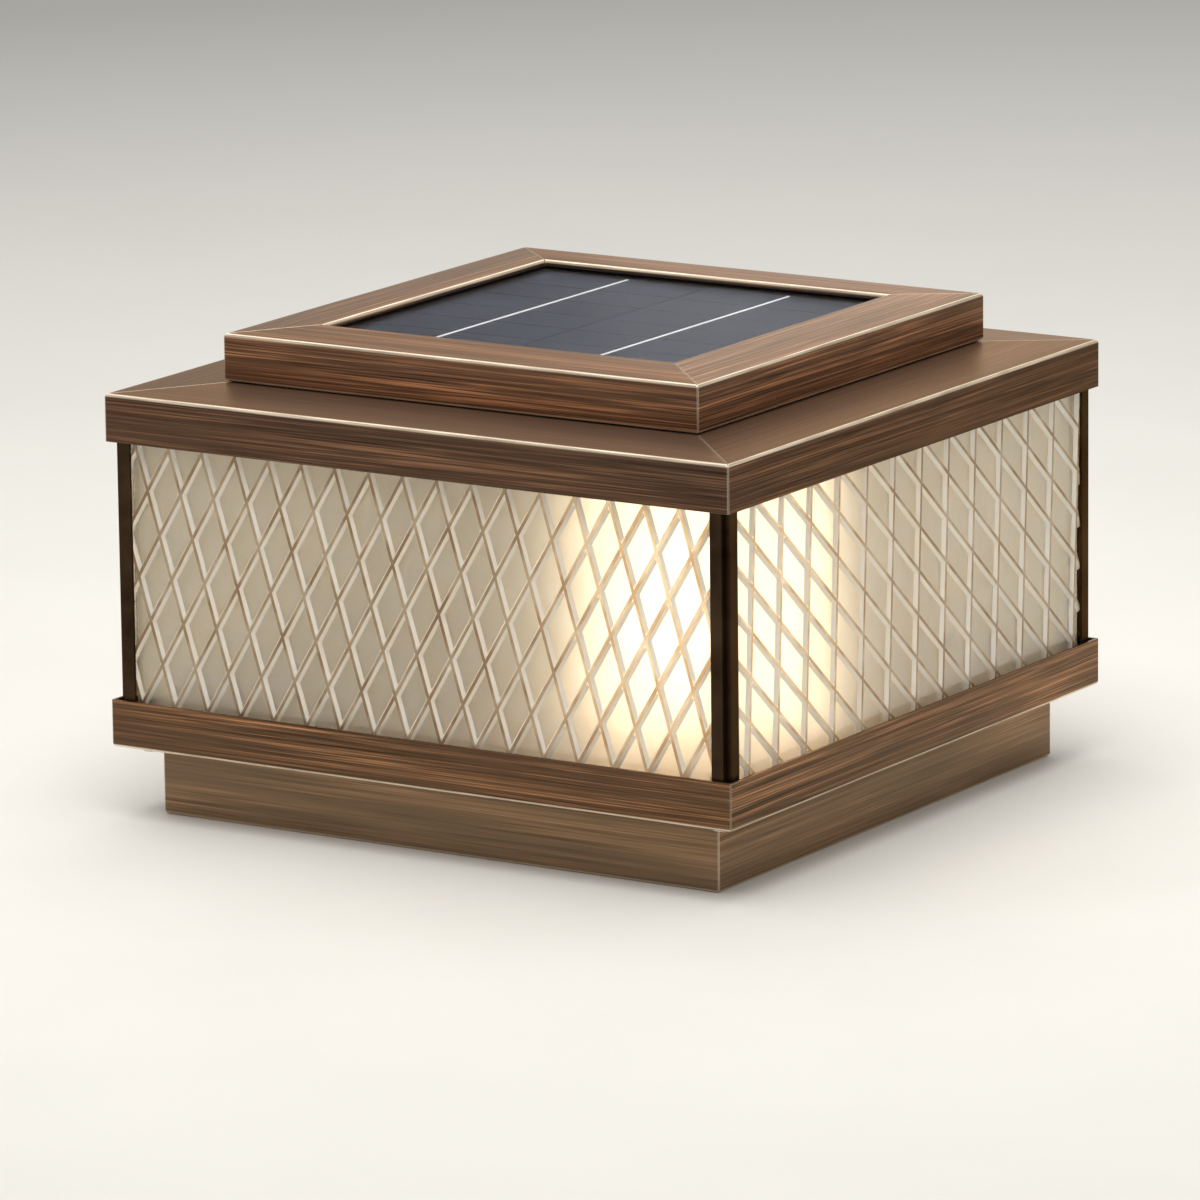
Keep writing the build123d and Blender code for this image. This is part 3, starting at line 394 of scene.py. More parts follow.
def revolved(section, centre):
    """A closed section (radius, height) spun about an upright axis: x = r cos(t), y = r sin(t)."""
    angle = np.linspace(0.0, 2 * math.pi, ROUND_STEPS, endpoint=False)
    r, z = np.asarray(section, float).T
    x = centre[0] + np.cos(angle)[:, None] * r
    y = centre[1] + np.sin(angle)[:, None] * r
    points = np.stack([x, y, z + 0 * x], axis=-1).reshape(-1, 3)
    return points, grid_quads(ROUND_STEPS, len(r), True, True)[:, ::-1]


# Finishes

# Brushing and patina of the bronze: waves to the metre along the rail and across it
BROAD_STROKES = (5.0, 520.0, 1.0)
FINE_STROKES = (15.0, 1700.0, 1.0)
PATINA_BANDS = (4.0, 46.0, 1.0)
HAND_MARKS = (11.0, 70.0, 1.0)
EDGE_BREAKS = (38.0, 900.0, 1.0)
# Gains of the strokes and the patina on each channel of the middle tone
DARK_STROKE = (0.42, 0.42, 0.42)
LIGHT_STROKE = (2.0, 1.88, 1.74)
SMOKE = (0.42, 0.52, 0.66)
# How far a face looks up where it begins to count as a top, and where it does so fully
TOPS = (0.5, 0.95)
# Middle stretch of cloudy noise, where most of its values lie
CLOUDS = (0.3, 0.7)
# Silver fingers of the cells: their spacing, and the bands of a wave texture of scale 1
FINGER_STEP = 2 * MM
WAVE_BANDS = 3.183
# The deeper glow of the lamp away from its chips, by channel
DEEP_GLOW = (1.0, 0.95, 0.88)
# Places of the sockets of a colour mix
MIX_FACTOR, MIX_FIRST, MIX_SECOND, MIX_RESULT = 0, 6, 7, 2


def toned(tone, gains, power=1.0):
    """A colour with each channel multiplied by its gain to a power."""
    return tuple(gain ** power * channel for gain, channel in zip(gains, tone))


class Finish:
    """A material in the making: its shader, and short ways to add nodes to it."""

    def __init__(self, name, **sockets):
        self.material = bpy.data.materials.new(name)
        self.material.use_nodes = True
        self.nodes = self.material.node_tree.nodes
        self.links = self.material.node_tree.links
        self.shader = self.nodes["Principled BSDF"]
        for socket, value in sockets.items():
            self.set(self.shader, socket.replace("_", " "), value)

    def set(self, node, socket, value):
        """Links a socket to another, or sets its plain value."""
        target = node.inputs[socket]
        if isinstance(value, bpy.types.NodeSocket):
            self.links.new(value, target)
        elif isinstance(target.default_value, (float, int)):
            target.default_value = value
        else:
            value = tuple(value)
            target.default_value = value + (1.0,) * (len(target.default_value) - len(value))

    def add(self, kind, settings=None, **sockets):
        """A node with its settings and its inputs; in an input's name _ stands for a space."""
        node = self.nodes.new("ShaderNode" + kind)
        for setting, value in (settings or {}).items():
            setattr(node, setting, value)
        for socket, value in sockets.items():
            self.set(node, socket.replace("_", " "), value)
        return node

    def where(self):
        """Object coordinates."""
        return self.add("TexCoord").outputs["Object"]

    def rail(self):
        """Metres along a rail and across it, from the piece's own map."""
        return self.add("UVMap", {"uv_map": "rail"}).outputs["UV"]

    def mark(self, name):
        """A value kept on the piece's points."""
        return self.add("Attribute", {"attribute_name": name}).outputs["Fac"]

    def upward(self):
        """How far a face looks up: 1 on a level top, 0 on a wall."""
        normal = self.add("NewGeometry").outputs["Normal"]
        return self.add("SeparateXYZ", Vector=normal).outputs["Z"]

    def stretch(self, vector, scale):
        """A coordinate stretched by its own scale on each axis."""
        node = self.add("VectorMath", {"operation": "MULTIPLY"})
        self.set(node, 0, vector)
        self.set(node, 1, scale)
        return node.outputs["Vector"]

    def noise(self, vector, scale, detail=3.0, roughness=0.55, distortion=0.0):
        """Cloudy noise from 0 to 1."""
        node = self.add(
            "TexNoise", Vector=vector, Scale=scale, Detail=detail, Roughness=roughness,
            Distortion=distortion,
        )
        return node.outputs["Fac"]

    def streaks(self, vector, scale, detail=3.0, roughness=0.55):
        """Cloudy noise drawn out by its own scale on each axis."""
        return self.noise(self.stretch(vector, scale), 1.0, detail, roughness)

    def ramp(self, value, *stops):
        """Colours at places along a value."""
        node = self.add("ValToRGB", Fac=value)
        elements = node.color_ramp.elements
        while len(elements) < len(stops):
            elements.new(0.5)
        for element, (place, tone) in zip(elements, stops):
            element.position = place
            element.color = tuple(tone) + (1.0,)
        return node.outputs["Color"]

    def span(self, value, source, target=(0.0, 1.0)):
        """A value moved from one range to another and held inside it."""
        node = self.add("MapRange", {"clamp": True})
        for index, number in enumerate((value, *source, *target)):
            self.set(node, index, number)
        return node.outputs["Result"]

    def combine(self, operation, first, second):
        """Arithmetic on two values."""
        node = self.add("Math", {"operation": operation})
        self.set(node, 0, first)
        self.set(node, 1, second)
        return node.outputs["Value"]

    def blend(self, factor, first, second):
        """Two colours mixed by a factor."""
        node = self.add("Mix", {"data_type": "RGBA"})
        self.set(node, MIX_FACTOR, factor)
        self.set(node, MIX_FIRST, first)
        self.set(node, MIX_SECOND, second)
        return node.outputs[MIX_RESULT]

    def colour(self, value):
        """The colour of the surface."""
        self.set(self.shader, "Base Color", value)

    def rough(self, value):
        """The roughness of the surface."""
        self.set(self.shader, "Roughness", value)

    def bump(self, height, strength, distance):
        """Fine relief from a value."""
        node = self.add("Bump", Strength=strength, Distance=distance, Height=height)
        self.set(self.shader, "Normal", node.outputs["Normal"])


def brushed_bronze(name, middle, glance, streak, edge, seam, metal, dust_and_sheen=0.0):
    """Antique bronze brushed along each rail.

    Fine strokes, fainter on the tops, lie over the middle tone, under smoky bands of patina, a
    painted sheen that lightens the tops, and a bright colour on the folds and beside the mitred
    seams that is partly rubbed metal and partly painted highlight, with painted shadow in the seams'
    bottoms. Streak is the contrast of the strokes; edge, seam and dust_and_sheen say how strong each
    is; glance is the tint of the metal seen along its surface.
    """
    tone = colours()
    finish = Finish(
        name, Metallic=metal, Specular_IOR_Level=0.2, Specular_Tint=glance, Anisotropic=0.75,
        Anisotropic_Rotation=0.25,
    )
    rail, up = finish.rail(), finish.upward()
    broad = finish.streaks(rail, BROAD_STROKES, detail=4.0, roughness=0.65)
    fine = finish.streaks(rail, FINE_STROKES, detail=2.0, roughness=0.6)
    strokes = finish.combine(
        "ADD", finish.combine("MULTIPLY", broad, 0.55), finish.combine("MULTIPLY", fine, 0.45)
    )
    dark = toned(middle, DARK_STROKE, streak)
    light = toned(middle, LIGHT_STROKE, streak)
    drawn = finish.ramp(strokes, (0.37, dark), (0.5, middle), (0.64, light))
    hand = finish.span(finish.streaks(rail, HAND_MARKS, roughness=0.6), (0.34, 0.58), (0.35, 1.0))
    weight = finish.combine("MULTIPLY", hand, finish.span(up, TOPS, (1.0, 0.6)))
    brushed = finish.blend(weight, middle, drawn)
    bands = finish.span(finish.streaks(rail, PATINA_BANDS, roughness=0.5), (0.42, 0.68), (0.0, 0.6))
    smoked = finish.blend(bands, brushed, toned(middle, SMOKE))
    # Painted sheen: the level tops are lightened towards the top sheen colour
    top_sheened = finish.blend(finish.span(up, TOPS, (0.0, dust_and_sheen)), smoked, tone.bronze_top_sheen)
    broken = finish.span(finish.streaks(rail, EDGE_BREAKS), (0.32, 0.62), (0.5, edge))
    # Bright colour on the folds and beside the seams: partly rubbed metal, partly painted highlight
    fold = finish.combine("MULTIPLY", finish.span(finish.mark("edge"), (0.2, 0.75)), broken)
    worn_and_highlit = finish.blend(fold, top_sheened, tone.bronze_worn_highlight)
    split = finish.mark("seam")
    lined = finish.blend(finish.span(split, (0.15, 0.4), (0.0, seam)), worn_and_highlit, tone.bronze_worn_highlight)
    finish.colour(finish.blend(finish.span(split, (0.62, 0.85)), lined, tone.seam_shadow))
    rough = tone.bronze_roughness
    sheet = finish.span(strokes, CLOUDS, (rough + 0.08, rough - 0.05))
    rubbed = finish.combine("SUBTRACT", sheet, finish.combine("MULTIPLY", fold, 0.3))
    finish.rough(finish.combine("MAXIMUM", rubbed, 0.12))
    finish.bump(strokes, strength=0.10, distance=0.2 * MM)
    tangent = finish.add("Tangent", {"direction_type": "UV_MAP", "uv_map": "rail"})
    finish.set(finish.shader, "Tangent", tangent.outputs["Tangent"])
    return finish.material


def painted_bronze(name):
    """Dark bronze paint with a faint orange-peel skin."""
    finish = Finish(name, Metallic=0.9, Specular_IOR_Level=0.3, Specular_Tint=(0.75, 0.55, 0.38))
    where = finish.where()
    patch = finish.noise(where, scale=40.0, detail=4.0)
    finish.colour(finish.ramp(patch, (0.3, (0.020, 0.011, 0.006)), (0.7, (0.066, 0.040, 0.022))))
    finish.rough(finish.span(patch, CLOUDS, (0.34, 0.46)))
    peel = finish.noise(where, scale=900.0, detail=2.0)
    finish.bump(peel, strength=0.12, distance=0.1 * MM)
    return finish.material


def pressed_glass(name, tint, pale, roughness, clear, dent):
    """Pressed glass with an uneven skin: two tints in soft patches over shallow ripples and grit.

    Clear is the share of light that passes through, and dent the strength of the ripples.
    """
    finish = Finish(name, Roughness=roughness, IOR=1.52, Transmission_Weight=clear)
    where = finish.where()
    patch = finish.noise(where, scale=55.0, detail=2.0, roughness=0.5)
    finish.colour(finish.blend(finish.span(patch, (0.40, 0.60)), tint, pale))
    ripple = finish.noise(where, scale=90.0, roughness=0.5, distortion=0.4)
    grit = finish.add("TexVoronoi", Vector=where, Scale=420.0).outputs["Distance"]
    skin = finish.combine("ADD", ripple, finish.combine("MULTIPLY", grit, 0.12))
    finish.bump(skin, strength=dent, distance=0.6 * MM)
    return finish.material


def cover_glass(name):
    """Flat cover glass, matted a little so that it mirrors softly, with the faintest dust."""
    finish = Finish(name, Base_Color=(0.97, 0.98, 0.98), IOR=1.025, Transmission_Weight=1.0)
    dust_and_sheen = finish.noise(finish.where(), scale=160.0, detail=6.0, roughness=0.7)
    finish.rough(finish.span(dust_and_sheen, (0.35, 0.75), (0.17, 0.19)))
    return finish.material


def silicon(name):
    """Slate-blue cells, faintly clouded, with fine silver fingers across them."""
    finish = Finish(name, Specular_IOR_Level=0.0)
    where = finish.where()
    cloud = finish.noise(where, scale=22.0, detail=4.0)
    base = finish.ramp(cloud, (0.3, (0.034, 0.037, 0.052)), (0.7, (0.050, 0.053, 0.074)))
    bands = 1 / FINGER_STEP / WAVE_BANDS
    fingers = finish.add("TexWave", {"bands_direction": "Y"}, Vector=where, Scale=bands)
    line = finish.span(fingers.outputs["Fac"], (0.9, 1.0), (0.0, 0.05))
    finish.colour(finish.blend(line, base, (0.30, 0.30, 0.34)))
    finish.rough(finish.span(cloud, CLOUDS, (0.30, 0.40)))
    return finish.material


def turned_metal(name, tone, dark, roughness, grain):
    """Bare metal with a fine grain and darker patches of handling."""
    finish = Finish(name, Metallic=1.0)
    where = finish.where()
    patch = finish.noise(where, scale=60.0, detail=4.0)
    fine = finish.noise(finish.stretch(where, (1.0, 1.0, 9.0)), grain, detail=2.0)
    finish.colour(finish.blend(finish.span(patch, (0.35, 0.75), (0.0, 0.6)), tone, dark))
    finish.rough(finish.span(fine, CLOUDS, (roughness - 0.07, roughness + 0.10)))
    finish.bump(fine, strength=0.10, distance=0.15 * MM)
    return finish.material


def moulded(name, tone, pale, roughness, grain=700.0, **sockets):
    """Moulded plastic or rubber with a fine spark-eroded grain and a faint bloom."""
    finish = Finish(name, **sockets)
    where = finish.where()
    bloom = finish.noise(where, scale=35.0, detail=4.0)
    finish.colour(finish.blend(finish.span(bloom, (0.3, 0.75)), tone, pale))
    finish.rough(finish.span(bloom, CLOUDS, (roughness - 0.05, roughness + 0.08)))
    finish.bump(finish.noise(where, grain, detail=2.0), strength=0.18, distance=0.2 * MM)
    return finish.material


def circuit_board(name):
    """Green solder mask with darker tracks under it."""
    finish = Finish(name, Specular_IOR_Level=0.5)
    where = finish.where()
    tracks = finish.add(
        "TexBrick", Vector=finish.stretch(where, (1.0, 1.0, 0.0)), Scale=160.0,
        Color1=(0.020, 0.105, 0.045), Color2=(0.028, 0.130, 0.060), Mortar=(0.012, 0.065, 0.030),
    )
    finish.colour(tracks.outputs["Color"])
    finish.rough(finish.span(finish.noise(where, scale=120.0), CLOUDS, (0.28, 0.42)))
    return finish.material


def lit_opal(name):
    """Opal plastic that glows warm all through, a little uneven where the chips sit behind it."""
    tone = colours()
    finish = Finish(name, Roughness=0.35, Emission_Strength=tone.light_strength)
    cloud = finish.noise(finish.where(), scale=30.0, detail=2.0)
    finish.colour(finish.ramp(cloud, (0.3, (0.90, 0.86, 0.78)), (0.7, (0.96, 0.93, 0.87))))
    glow = finish.blend(finish.span(cloud, CLOUDS), toned(tone.light, DEEP_GLOW), tone.light)
    finish.set(finish.shader, "Emission Color", glow)
    return finish.material


def pale_plaster(name, tone, far_shade_tone):
    """Pale plaster with faint clouds and a fine tooth, and painted shade that deepens its tone away from
    the lantern.
    """
    finish = Finish(name, Roughness=0.85, Specular_IOR_Level=0.2)
    where = finish.where()
    cloud = finish.span(finish.noise(where, scale=6.0, detail=5.0), CLOUDS)
    near = finish.blend(cloud, tone, toned(tone, (0.96, 0.96, 0.96)))
    away = finish.add("VectorMath", {"operation": "LENGTH"})
    finish.set(away, 0, where)
    # Painted shade: deeper in tone with distance from the lantern
    far = finish.span(away.outputs["Value"], (0.3, 2.2))
    finish.colour(finish.blend(far, near, far_shade_tone))
    tooth = finish.noise(where, scale=260.0, detail=4.0)
    finish.bump(tooth, strength=0.25, distance=0.5 * MM)
    return finish.material


def wear(material, *nodes):
    """Gives carried-over solids their finish."""
    for node in nodes:
        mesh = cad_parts[node].data
        mesh.materials.clear()
        mesh.materials.append(material)


# Pieces

# Shares of the way from an access hole's edge to the edge of its quarter of the floor
FLOOR_STATIONS = (0.0, 0.04, 0.3, 1.0)
# Points of a facet between two ribs, as shares of the way
FACET_STATIONS = (0.3, 0.5, 0.7)
# Steps that draw each facet's lot from its place, and the turns that make its two tilts of it
LOT_STEPS = (12.9898, 78.233)
TILT_TURNS = (43.7, 91.3)
TILT_START = 1.7
# Finish numbers of a pane's faces, and the share of a rib's height above which a face is the rib's
OUTER, INNER, FLANK, CREST = range(4)
RIB_FACE = 0.5
# A cell ribbon's shape as shares of its thickness: gap below, edge, crown, and rise of the ends
RIBBON_GAP = 0.05
RIBBON_EDGE = 0.1
RIBBON_CROWN = 0.8
RIBBON_END = 0.4
# Points across a cell ribbon and along it
RIBBON_POINTS = (9, 25)


class PillarOperator(bpy.types.Operator):
    """Shared settings of the makers below."""

    bl_options = {"REGISTER", "UNDO"}


def roof_height(half):
    """Height of the canopy's low roof at a distance from the axis."""
    size = sizes()
    slope = size.roof_rise / (size.lantern_half - size.frame_half)
    return size.rim + slope * (size.lantern_half - half)


def fold_piece(name, corners, thickness, body, bronze):
    """A bronze sheet folded along its corners and carried round the square."""
    points, quads, uv, marks = square_shell(corners, thickness)
    return make_piece(name, points, quads, body, (bronze,), uv=uv, marks=marks)


class PILLAR_OT_solar_frame(PillarOperator):
    """Folds the solar frame: a wall, a sloping border and the lip round the panel window"""

    bl_idname = "pillar.solar_frame"
    bl_label = "Solar Frame"

    def execute(self, context):
        size, tone = sizes(), colours()
        inner = size.frame_half - size.frame_return
        foot = roof_height(inner) + size.head_gap
        top = foot + size.frame_height
        crown = top + size.border_rise
        corners = [
            (inner, foot),
            (size.frame_half, foot),
            (size.frame_half, top),
            (size.window_half, crown),
            (size.window_half, crown - size.lip_drop),
        ]
        bronze = brushed_bronze(
            "frame_bronze", tone.frame_bronze, tone.frame_glance, streak=2.1, edge=1.0, seam=0.45,
            metal=0.8,
        )
        piece = fold_piece("solar_frame_shell", corners, size.thin_sheet, HEAD, bronze)
        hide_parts("solar_frame")
        return {"FINISHED"}


class PILLAR_OT_canopy(PillarOperator):
    """Folds the canopy: the rim, the low roof and the collar that stands up under the head"""

    bl_idname = "pillar.canopy"
    bl_label = "Canopy"

    def execute(self, context):
        size, tone = sizes(), colours()
        corners = [
            (size.lantern_half, size.eave),
            (size.lantern_half, size.rim),
            (size.collar_half, roof_height(size.collar_half)),
            (size.collar_half, size.collar_top),
        ]
        bronze = brushed_bronze(
            "canopy_bronze", tone.canopy_bronze, tone.canopy_glance, streak=1.7, edge=1.0, seam=0.35,
            metal=0.68, dust_and_sheen=0.4,
        )
        piece = fold_piece("canopy_shell", corners, size.thin_sheet, LANTERN, bronze)
        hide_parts("canopy")
        return {"FINISHED"}


def floor_quarter(half, low, high):
    """One quarter of the floor sheet, with a round hole, as a closed ring about the hole.

    Along the ring a point runs from the hole's circle to the quarter's square edge, where the
    ray at the same angle from the hole's centre meets it, and back underneath.
    """
    size = sizes()
    corner = np.array([0.0, half, half, 0.0]) - size.hole_centre
    corner_angles = np.arctan2(corner, np.roll(corner, -1))
    even_angles = np.linspace(-math.pi, math.pi, HOLE_STEPS, endpoint=False)
    angle = np.unique(np.concatenate([even_angles, corner_angles]))
    way = np.stack([np.cos(angle), np.sin(angle)], axis=-1)
    room = np.where(way > 0, half - size.hole_centre, size.hole_centre)
    ray = (room / np.maximum(np.abs(way), TINY)).min(axis=-1)
    reach = np.array(FLOOR_STATIONS + FLOOR_STATIONS[::-1])
    height = np.repeat([high, low], len(FLOOR_STATIONS))
    radius = size.hole_radius + reach * (ray[:, None] - size.hole_radius)
    x = size.hole_centre + radius * way[:, :1]
    y = size.hole_centre + radius * way[:, 1:]
    return np.stack([x, y, height + 0 * x], axis=-1)


def floor_sheet(half, low, high):
    """The floor sheet: one quarter turned to all four, with no wall where two of them meet."""
    quarter = floor_quarter(half, low, high)
    count, ring = quarter.shape[:2]
    edge = ring // 2
    at_join = np.abs(quarter[:, edge, :2]) < WELD
    joined = (at_join & np.roll(at_join, -1, axis=0)).any(axis=1)
    inner_wall = joined[:, None] & (np.arange(ring) == edge - 1)
    quads = grid_quads(count, ring, True, True)[~inner_wall.reshape(-1)]
    points = np.concatenate([turn(quarter, side) for side in range(4)]).reshape(-1, 3)
    return points, np.concatenate([quads + side * count * ring for side in range(4)])


class PILLAR_OT_band(PillarOperator):
    """Folds the lower band and lays the floor sheet with its four access holes"""

    bl_idname = "pillar.band"
    bl_label = "Band and Floor"

    def execute(self, context):
        size, tone = sizes(), colours()
        low = size.plinth_top
        corners = [(size.flange_half, low), (size.lantern_half, low), (size.lantern_half, size.band_top)]
        bronze = brushed_bronze(
            "band_bronze", tone.band_bronze, tone.base_glance, streak=1.8, edge=1.0, seam=0.2, metal=0.8
        )
        piece = fold_piece("band_shell", corners, size.thick_sheet, LANTERN, bronze)
        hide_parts("floor_tray")
        lacquer = moulded(
            "floor_lacquer", tone=(0.36, 0.27, 0.19), pale=(0.44, 0.34, 0.25), roughness=0.45, Metallic=0.3
        )
        points, quads = floor_sheet(size.flange_half, low, low + size.thick_sheet)
        make_piece("floor_sheet", points, quads, LANTERN, (lacquer,))
        return {"FINISHED"}


class PILLAR_OT_plinth(PillarOperator):
    """Folds the plinth: a wall with a flange above and a lip below"""

    bl_idname = "pillar.plinth"
    bl_label = "Plinth"

    def execute(self, context):
        size, tone = sizes(), colours()
        corners = [
            (size.flange_half, 0.0),
            (size.plinth_half, 0.0),
            (size.plinth_half, size.plinth_top),
            (size.flange_half, size.plinth_top),
        ]
        bronze = brushed_bronze(
            "plinth_bronze", tone.plinth_bronze, tone.base_glance, streak=0.8, edge=0.45, seam=0.45,
            metal=0.8,
        )
        piece = fold_piece("plinth_shell", corners, size.thick_sheet, LANTERN, bronze)
        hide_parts("plinth")
        return {"FINISHED"}


class PILLAR_OT_posts(PillarOperator):
    """Paints the four corner posts"""

    bl_idname = "pillar.posts"
    bl_label = "Corner Posts"

    def execute(self, context):
        paint = painted_bronze("post_paint")
        wear(paint, "post_front_right", "post_back_right", "post_back_left", "post_front_left")
        return {"FINISHED"}


def lattice_stations(reach, foot, crest):
    """Points along one direction of the lattice, where 1 is the step from rib to rib.

    Each cell has its rib's middle, shoulder and foot, the points of its facet, and the next rib's
    foot and shoulder. Returns the cell's number, the place in it, and the rib's height there, which
    falls evenly from 1 on the crest to 0 at the foot.
    """
    cell = np.array([0.0, crest, foot, *FACET_STATIONS, 1 - foot, 1 - crest])
    first, last = math.floor(reach.min()) - 1, math.ceil(reach.max()) + 1
    number = np.repeat(np.arange(first, last), len(cell))
    place = np.tile(cell, last - first)
    from_rib = np.minimum(place, 1 - place)
    return number, place, np.clip((foot - from_rib) / (foot - crest), 0.0, 1.0)


def close_slab(front, back, quads):
    """Faces of a slab: the front, the back behind it, and walls along their open edge."""
    count = len(front)
    edges = np.stack([quads, np.roll(quads, -1, axis=1)], axis=-1).reshape(-1, 2)
    low, high = np.sort(edges, axis=1).T
    position, uses = np.unique(low * count + high, return_index=True, return_counts=True)[1:]
    start, end = edges[position[uses == 1]].T
    walls = np.stack([end, start, start + count, end + count], axis=1)
    faces = np.concatenate([quads, quads[:, [0, 3, 2, 1]] + count, walls])
    return np.concatenate([front, back]), faces


def pane_surface(pitch, lean, anchor, rise):
    """Pressed pane facing the front, as a grid in the lattice's own two directions.

    A point is the anchor crossing plus p times one rib's step and q times the other's, brought
    back to the pane's edge where it falls outside. The relief is the greater of rib(p) and rib(q);
    between the ribs each facet is dished by 16 p (1 - p) q (1 - q) of the dish's depth and has a tilt
    of its own. Returns points, faces and finish numbers.
    """
    size = sizes()
    right, left, row = pitch / 2 + lean, -pitch / 2 + lean, size.lattice_row
    edge, start = size.pane_half, size.band_top + rise
    steps = np.array([[right, left], [row, row]])
    pane_u = np.array([-edge, edge, edge, -edge])
    pane_z = np.array([size.pane_low, size.pane_low, size.pane_high, size.pane_high])
    reach = np.linalg.solve(steps, np.stack([pane_u - anchor, start - pane_z]))
    spacing = pitch * row / np.array([math.hypot(left, row), math.hypot(right, row)])
    foot, crest = size.rib_base / spacing, size.rib_top / spacing
    p_cell, p_place, p_rib = lattice_stations(reach[0], foot[0], crest[0])
    q_cell, q_place, q_rib = lattice_stations(reach[1], foot[1], crest[1])
    p_cell, p_place, p_rib = p_cell[:, None], p_place[:, None], p_rib[:, None]
    p, q = p_cell + p_place, q_cell + q_place
    u = anchor + p * right + q * left
    z = start - (p + q) * row
    inside = ((np.abs(u) < edge) & (z > size.pane_low) & (z < size.pane_high)).reshape(-1)
    rib = np.maximum(p_rib, q_rib)
    lot = p_cell * LOT_STEPS[0] + q_cell * LOT_STEPS[1]
    tilt_p = size.facet_tilt * np.sin(lot * TILT_TURNS[0]) * (2 * p_place - 1)
    tilt_q = size.facet_tilt * np.sin(lot * TILT_TURNS[1] + TILT_START) * (2 * q_place - 1)
    dish = size.facet_dish * 16 * p_place * (1 - p_place) * q_place * (1 - q_place)
    relief = size.rib_height * rib + (tilt_p + tilt_q - dish) * (1 - rib)
    quads = grid_quads(*rib.shape)
    u = np.clip(u, -edge, edge)
    z = np.clip(z, size.pane_low, size.pane_high)
    front = np.stack([u, -(size.pane_face + relief), z], axis=-1).reshape(-1, 3)
    back = np.stack([u, -size.pane_back + 0 * u, z], axis=-1).reshape(-1, 3)

    # Each face that has a corner inside is kept, and begins at such a corner
    quads = quads[inside[quads].any(axis=1)]
    turns = inside[quads].argmax(axis=1)[:, None] + np.arange(4)
    quads = np.take_along_axis(quads, turns % 4, axis=1)
    used, quads = np.unique(quads, return_inverse=True)
    quads = quads.reshape(-1, 4)
    front, back = front[used], back[used]
    height = rib.reshape(-1)[used][quads]
    lowest, highest = height.min(axis=1), height.max(axis=1)
    facing = np.cross(front[quads[:, 2]] - front[quads[:, 0]], front[quads[:, 3]] - front[quads[:, 1]])
    if facing[:, 1].sum() > 0:
        quads = quads[:, [0, 3, 2, 1]]
    points, faces = close_slab(front, back, quads)
    slots = np.full(len(faces), OUTER)
    slots[:len(quads)][highest > RIB_FACE] = FLANK
    slots[:len(quads)][lowest > RIB_FACE] = CREST
    slots[len(quads):2 * len(quads)] = INNER
    return points, faces, slots


class PILLAR_OT_panes(PillarOperator):
    """Presses the four panes, ribbed outside and satin inside"""

    bl_idname = "pillar.panes"
    bl_label = "Pressed Panes"

    def execute(self, context):
        size, tone = sizes(), colours()
        outer = pressed_glass(
            "pane_outer_glass", tone.glass, tone.glass_pale, roughness=0.04, clear=1.0, dent=0.15
        )
        inner = pressed_glass(
            "pane_inner_glass", tone.glass_back, tone.glass_back_pale, tone.satin, clear=0.45, dent=0.6
        )
        flank = pressed_glass(
            "rib_flank_glass", tone.rib_flank, tone.rib_flank_pale, tone.flank, clear=0.36, dent=0.05
        )
        # The crest glass carries painted shade: brown with paler patches, in place of the ribs' dark
        # refracted bands
        crest = pressed_glass(
            "rib_crest_glass", tone.rib_crest_shade, tone.rib_crest_shade_pale, roughness=0.30, clear=0.62, dent=0.02
        )
        front = pane_surface(size.front_pitch, size.front_lean, size.front_anchor, size.front_rise)
        side = pane_surface(size.side_pitch, size.side_lean, size.side_anchor, size.side_rise)
        places = (("front", front, 0), ("right", side, 1), ("back", front, 2), ("left", side, 3))
        for name, (points, faces, slots), quarters in places:
            piece = make_piece(
                f"pane_{name}_relief", turn(points, quarters), faces, LANTERN,
                (outer, inner, flank, crest), slots=slots,
            )
            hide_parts(f"pane_{name}")
        return {"FINISHED"}


def ribbon_strips():
    """The two cell ribbons: a crowned section (t, edge + crown * (1 - t ** 4)) drawn along the panel.

    At each end the section shrinks to a point half-way up.
    """
    size = sizes()
    low, high = (np.array(corner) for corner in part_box("cell_ribbons"))
    thick = high[2] - low[2]
    t = np.linspace(-1.0, 1.0, RIBBON_POINTS[0])
    x = np.concatenate([t, t[::-1]]) * size.ribbon_width / 2
    z = np.concatenate([RIBBON_EDGE + RIBBON_CROWN * (1 - t ** 4), 0 * t]) * thick
    run = np.linspace(low[1], high[1], RIBBON_POINTS[1])
    y = np.concatenate([run[:1], run, run[-1:]])[:, None]
    full = np.ones_like(y)
    full[[0, -1]] = 0.0
    rise = low[2] + (RIBBON_GAP + RIBBON_END * (1 - full)) * thick + full * z
    quads = grid_quads(len(y), len(x), False, True)
    ribbons = []
    for side in (-1, 1):
        centre = side * (high[0] - size.ribbon_width / 2)
        ribbons.append(np.stack(np.broadcast_arrays(centre + full * x, y, rise), axis=-1).reshape(-1, 3))
    return np.concatenate(ribbons), np.concatenate([quads, quads + len(ribbons[0])])


